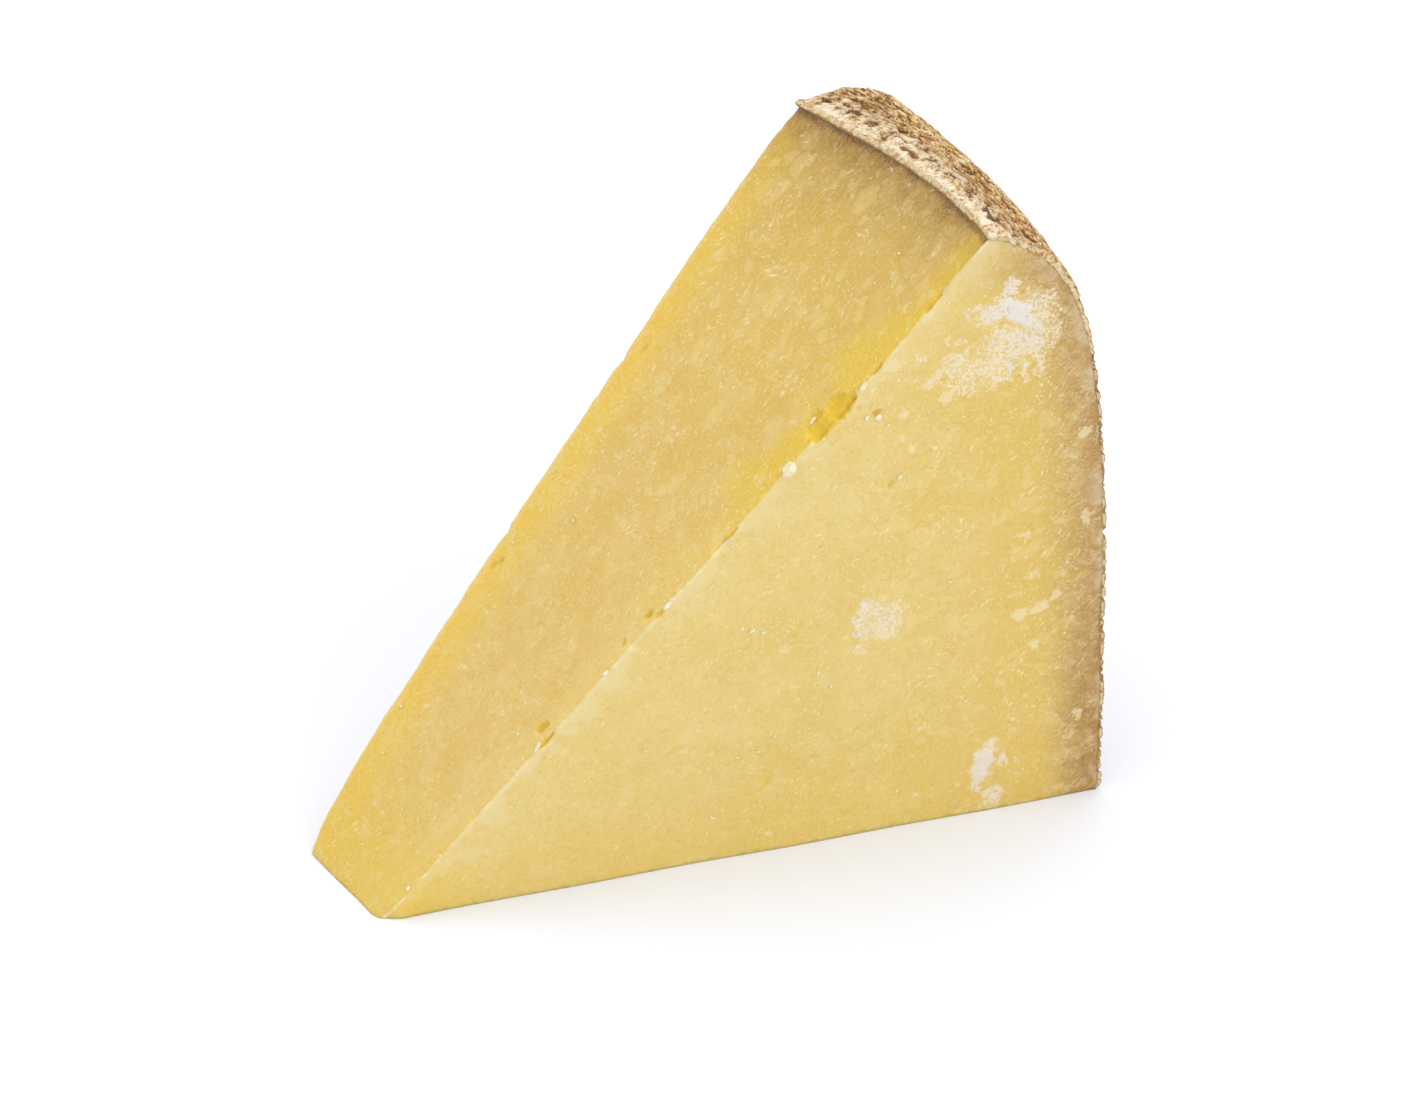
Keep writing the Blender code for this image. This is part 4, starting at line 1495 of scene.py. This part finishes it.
def rind_material():
    """Dry cellar crust: cream skin with brown pits on top, golden brown and cracked below; painted
    shade darkens its hollows.
    """
    n = Nodes("cheese_rind")
    place = n.look("grain", "Vector")
    from_lip = n.look("from_lip")
    through = n.look("through")
    cavity = n.look("cavity")
    raised = n.sloped(n.look("relief"), 1.2, 0.5)
    bent = n.bent(place, 2.5, 1.6)
    long = n.scaled(bent, (0.36, 1.0, 1.0))

    def mottled(middle, fine):
        """The relief with two sizes of noise added, about 0.5."""
        return n.math("ADD", raised, n.math("ADD", n.sloped(middle, 1.5, -0.75),
                                            n.sloped(fine, 1.4, -0.7)))

    # cream skin, tan and brown in its hollows: partly its own wear, partly painted shade, as lower
    # relief gets a darker tone
    tone = mottled(n.cloud(bent, 1.3, 3, 0.65), n.cloud(bent, 0.42, 3, 0.7))
    tone = n.sloped(n.step(from_lip, 1.7, 0.5), 0.07, tone)
    tone = n.sloped(n.step(n.cloud(place, 5, 2), 0.35, 0.65), 0.2, n.math("SUBTRACT", tone, 0.1))
    cream = n.shades(tone, (0.08, 142, 98, 50), (0.22, 186, 145, 94), (0.35, 209, 171, 120),
                     (0.48, 229, 200, 156), (0.62, 244, 225, 192), last=(0.80, 251, 238, 213))

    # golden brown below, in long streaks, darker where the relief is lower: partly painted shade
    tone = mottled(n.cloud(long, 0.9, 3, 0.65), n.cloud(n.turned(long, 4), 0.4, 3, 0.7))
    golden = n.shades(tone, (0.14, 102, 64, 26), (0.30, 146, 99, 48), (0.43, 180, 133, 74),
                      (0.56, 204, 161, 101), (0.70, 226, 192, 137), last=(0.86, 243, 220, 178))
    uneven = n.sloped(n.cloud(place, 3, 4, 0.65), 9.0, from_lip)
    color = n.mix(n.step(uneven, 12.5, 6.5), golden, cream)
    # pits, cracks and chips go dark brown: partly their own brown, partly painted shade in the
    # hollows
    pit_brown_and_shade = n.laid(linear(96, 60, 28), (142, 98, 52), n.step(n.cloud(place, 0.7, 2), 0.35, 0.65))
    pit_brown_and_shade = n.laid(pit_brown_and_shade, (164, 108, 56), n.step(through, 0.0, 0.25))
    color = n.mix(n.times(n.step(cavity, 0.12, 0.6), 0.92), color, pit_brown_and_shade)

    # calmer and duller down the side
    plain = n.step(n.cloud(bent, 2.4, 3, 0.65), 0.35, 0.65)
    plain = n.laid(linear(174, 133, 86), (199, 163, 115), plain)
    color = n.mix(n.times(n.step(from_lip, 17, 42), 0.7), color, plain)

    # the rind's own thickness where the knife went through it
    tone = n.sloped(n.cloud(place, 0.5, 2), 0.4, -0.2)
    tone = n.math("ADD", n.cloud(bent, 0.9, 3, 0.65), tone)
    rim = n.shades(tone, (0.30, 176, 132, 78), (0.38, 214, 178, 120),
                   (0.50, 234, 210, 160), last=(0.66, 244, 228, 190))
    worn = n.sloped(n.cloud(place, 0.7, 2), 0.5, through)
    rim = n.laid(rim, (194, 146, 84), n.step(worn, 0.90, 1.06))
    shown = n.times(n.step(through, 0.02, 0.3), n.step(cavity, 0.45, 0.15))
    color = n.mix(n.times(shown, 0.92), color, rim)

    relief = n.bump(n.cloud(place, 0.5, 3, 0.7), 0.25, 0.9)
    return n.finish(color, 0.82, relief, glow=(0.08, (1.0, 0.6, 0.3), 1.0), IOR=1.4)


def mould_material():
    """Dry white mould."""
    n = Nodes("white_mould", "3D")
    place = n.object_place()
    tone = n.step(n.cloud(place, 1.2, 3), 0.35, 0.65)
    color = n.mix(tone, (0.82, 0.74, 0.62, 1), (0.86, 0.79, 0.70, 1))
    return n.finish(color, 0.9, n.bump(n.cloud(place, 0.15, 2), 0.05, 0.6))


def curd_material():
    """Loose curd, from the paste's own yellow to dried white."""
    n = Nodes("dry_curd", "3D")
    place = n.object_place()
    tone = n.step(n.cloud(place, 0.9, 3), 0.35, 0.65)
    yellow = n.laid(linear(240, 212, 130), (245, 224, 156), tone)
    white = n.laid(linear(247, 232, 192), (252, 244, 222), tone)
    color = n.mix(n.look("white"), yellow, white)
    relief = n.bump(n.cloud(place, 0.3, 3), 0.06, 0.6)
    return n.finish(color, n.sloped(tone, 0.2, 0.45), relief, glow=(0.4, (1.0, 0.8, 0.5), 1.0))


# ---- pieces
def add_paste():
    """The paste; returns its surface, for what lies on it."""
    points, triangles, kinds, flats = build_paste()
    moved, looks = shape_paste(points)
    piece = store_mesh("cheese_body", lifted(moved), triangles, paste_material(), kinds != FOOT)
    for name, values in looks.items():
        store_look(piece, name, values)
    store_places(piece, flats, kinds)
    triangle_look(piece, "on_slant", kinds == SLANT)
    triangle_look(piece, "upright", (kinds == FRONT) | (kinds == BACK))
    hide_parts("cheese_wedge")
    return BVHTree.FromPolygons(moved.tolist(), triangles.tolist())


def settle(surface, point):
    """The nearest place on the paste."""
    return np.array(surface.find_nearest(Vector(point))[0])


def add_rind():
    """The crust, from its skin to its hidden inside."""
    points, triangles, kinds, flats, looks = build_rind()
    piece = store_mesh("cheese_rind", lifted(points), triangles, rind_material())
    for name, column in zip(("cavity", "relief", "from_lip", "through"), looks.T):
        store_look(piece, name, column)
    store_places(piece, flats, kinds)
    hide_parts("cheese_wedge")


GRAIN_CORNERS = np.array(
    [(1, 0, 0), (-1, 0, 0), (0, 1, 0), (0, -1, 0), (0, 0, 1), (0, 0, -1)], float)
GRAIN_FACES = np.array(
    [(0, 2, 4), (2, 1, 4), (1, 3, 4), (3, 0, 4), (2, 0, 5), (1, 2, 5), (3, 1, 5), (0, 3, 5)])
MOST_GRAINS = 2400
GRAIN_TRIALS = 300000
GRAIN_AREA = ((158, 0.3), (193, 96))
GRAIN_SHARE = 0.6
GRAIN_SIZE = 0.05
GRAIN_GROWTH = 0.10
GRAIN_HEIGHT = 0.36
GRAIN_SEED = 9


def add_mould_grains(surface):
    """Dry grains of mould on its patches, thickest where it grows most."""
    draw = np.random.default_rng(GRAIN_SEED)
    trial = draw.uniform(*GRAIN_AREA, (GRAIN_TRIALS, 2))
    trial = trial[lobe_field(trial, MOULD_LOBES) > 0.03]
    growth = mould_growth(trial)
    grown = draw.uniform(0, 1, len(trial)) < growth * GRAIN_SHARE
    flat = trial[np.flatnonzero(grown)[:MOST_GRAINS]]
    sizes = GRAIN_SIZE + GRAIN_GROWTH * draw.uniform(0, 1, len(flat)) ** 2
    places = radial_place(-1, flat[:, 0], flat[:, 1])
    places = np.array([settle(surface, place) for place in places])
    corners = GRAIN_CORNERS * draw.uniform(0.6, 1.25, (len(flat), 6, 1))
    corners += draw.uniform(-0.22, 0.22, corners.shape)
    spin = draw.uniform(0, 2 * math.pi, len(flat))[:, None]
    x = corners[..., 0] * np.cos(spin) - corners[..., 1] * np.sin(spin)
    y = corners[..., 0] * np.sin(spin) + corners[..., 1] * np.cos(spin)
    turned = np.stack([x, y, corners[..., 2] * GRAIN_HEIGHT], axis=2) * sizes[:, None, None]
    axes = np.stack([CUT_OUTWARDS[-1], -FOOT_NORMAL, CUT_NORMALS[-1]])
    points = (places[:, None, :] + turned @ axes).reshape(-1, 3)
    triangles = (GRAIN_FACES + 6 * np.arange(len(flat))[:, None, None]).reshape(-1, 3)
    store_mesh("mould_grains", lifted(points), triangles, mould_material())


FLAKE_SIDES = 9
FLAKE_UNDER = -0.4
FLAKE_SEED = 21
FLAKE_LEVELS = ((0.86, -0.35), (1.0, 0.35), (0.82, 0.85), (0.5, 1.0))


def flake_shape(draw, length, width, thickness):
    """One chip of curd: an uneven many-sided plate with worn edges."""
    turn = (np.arange(FLAKE_SIDES) + draw.uniform(-0.3, 0.3, FLAKE_SIDES)) * 2 * math.pi
    turn /= FLAKE_SIDES
    reach = draw.uniform(0.72, 1.1, FLAKE_SIDES)
    outline = np.stack([np.cos(turn) * reach * length, np.sin(turn) * reach * width], axis=1) / 2
    rings = []
    for shrink, level in FLAKE_LEVELS:
        height = np.full(FLAKE_SIDES, level * thickness)
        height += draw.uniform(-0.08, 0.08, FLAKE_SIDES) * thickness
        rings.append(np.c_[outline * shrink, height])
    points = np.vstack([*rings, (0, 0, thickness), (0, 0, FLAKE_UNDER * thickness)])
    around = np.arange(FLAKE_SIDES)
    after = np.roll(around, -1)
    faces = []
    for low in range(0, FLAKE_SIDES * (len(rings) - 1), FLAKE_SIDES):
        high = low + FLAKE_SIDES
        faces.append(np.stack([low + around, low + after, high + after], axis=1))
        faces.append(np.stack([low + around, high + after, high + around], axis=1))
    last = FLAKE_SIDES * (len(rings) - 1)
    top, bottom = np.full((FLAKE_SIDES, 2), (len(points) - 2, len(points) - 1)).T
    faces.append(np.stack([last + around, last + after, top], axis=1))
    faces.append(np.stack([after, around, bottom], axis=1))
    return points, np.vstack(faces)


def stray_flakes(draw):
    """Small crumbs anywhere on the two faces that show, as rows like the listed ones."""
    rows = []
    for _ in range(STRAY_FLAKES):
        size = STRAY_SIZE + STRAY_GROWTH * draw.uniform() ** 3
        shape = (size * draw.uniform(1.0, 2.2), size, size * STRAY_HEIGHT)
        if draw.uniform() < 0.5:
            spot = ("slant", draw.uniform(0.02, 0.97), draw.uniform(0.0, 0.98))
        else:
            height = draw.uniform(1, 92)
            low = TIP_RADIUS_FRONT + (TOP_RADIUS_FRONT - TIP_RADIUS_FRONT) * height / HEIGHT
            spot = ("front", draw.uniform(low + 1.5, 193), height)
        rows.append((*spot, *shape, draw.uniform(0, 180), draw.uniform(0.1, 0.8)))
    return rows


def add_flakes(surface):
    """Chips and crumbs of pale curd on the cut faces."""
    draw = np.random.default_rng(FLAKE_SEED)
    points = []
    triangles = []
    whites = []
    count = 0
    rows = (*FLAKES, *stray_flakes(draw))
    for face, first, second, length, width, thickness, turn, white in rows:
        shape, faces = flake_shape(draw, length, width, thickness)
        point, *axes = face_spot(face, first, second)
        points.append(settle(surface, point) + shape @ turned_axes(*axes, turn))
        triangles.append(faces + count)
        whites.append(np.full(len(shape), white))
        count += len(shape)
    points = lifted(np.vstack(points))
    piece = store_mesh("curd_flakes", points, np.vstack(triangles), curd_material(), smooth=False)
    store_look(piece, "white", np.hstack(whites))


# ---- stage
EYE = Vector((-0.6552, -1.3363, 0.9911))
TARGET = Vector((0.0024, -0.00242, 0.04374))
LENS = 296.8
SENSOR = 36.0
NEAREST_SEEN = 0.05
FARTHEST_SEEN = 60
FLOOR_REACH = 12.0
FLOOR_COLOR = (0.85, 0.885, 0.98, 1)
WORLD_COLOR = (1.0, 0.995, 0.985, 1)
LAMP_TARGET = (0, 0, 0.045)
LAMP_SIZE = 1.6
LAMPS = (
    ("key", (0.9, -1.4, 1.5), 13.0, (1.0, 0.99, 0.97)),
    ("top", (0.4, 0.7, 1.9), 9.0, (1.0, 1.0, 1.0)),
)


def aimed(place, target):
    """The turn that points a camera or a lamp from a place to a target."""
    return (Vector(target) - Vector(place)).to_track_quat("-Z", "Y").to_euler()


def add_camera():
    """The camera at the photograph's angle."""
    camera = bpy.data.objects.new("camera", bpy.data.cameras.new("camera"))
    bpy.context.scene.collection.objects.link(camera)
    camera.location = EYE
    camera.rotation_euler = aimed(EYE, TARGET)
    camera.data.lens = LENS
    camera.data.sensor_width = SENSOR
    camera.data.sensor_fit = "HORIZONTAL"
    camera.data.clip_start = NEAREST_SEEN
    camera.data.clip_end = FARTHEST_SEEN
    bpy.context.scene.camera = camera


def add_lamp(name, place, power, color):
    """A soft square lamp aimed at the wedge."""
    data = bpy.data.lights.new(name, "AREA")
    data.size = LAMP_SIZE
    data.energy = power
    data.color = color
    lamp = bpy.data.objects.new(name, data)
    lamp.location = place
    lamp.rotation_euler = aimed(place, LAMP_TARGET)
    bpy.context.scene.collection.objects.link(lamp)


def add_floor():
    """A plain pale floor."""
    reach = FLOOR_REACH
    mesh = bpy.data.meshes.new("floor")
    corners = [(-reach, -reach, 0), (reach, -reach, 0), (reach, reach, 0), (-reach, reach, 0)]
    mesh.from_pydata(corners, [], [(0, 1, 2, 3)])
    floor = bpy.data.objects.new("floor", mesh)
    bpy.context.scene.collection.objects.link(floor)
    n = Nodes("floor")
    mesh.materials.append(n.finish(FLOOR_COLOR, 0.9, None, Specular_IOR_Level=0.1))


def add_light():
    """Soft light from all round, two lamps, and colours shown as they are."""
    world = bpy.data.worlds.new("studio")
    world.use_nodes = True
    back = world.node_tree.nodes["Background"]
    back.inputs["Color"].default_value = WORLD_COLOR
    back.inputs["Strength"].default_value = 1.0
    bpy.context.scene.world = world
    for lamp in LAMPS:
        add_lamp(*lamp)
    settings = bpy.context.scene.view_settings
    settings.view_transform = "Standard"
    settings.look = "None"
    settings.exposure = 0.0
    settings.gamma = 1.0


def main():
    """The stage and the four pieces."""
    add_camera()
    add_floor()
    add_light()
    surface = add_paste()
    add_rind()
    add_mould_grains(surface)
    add_flakes(surface)


main()
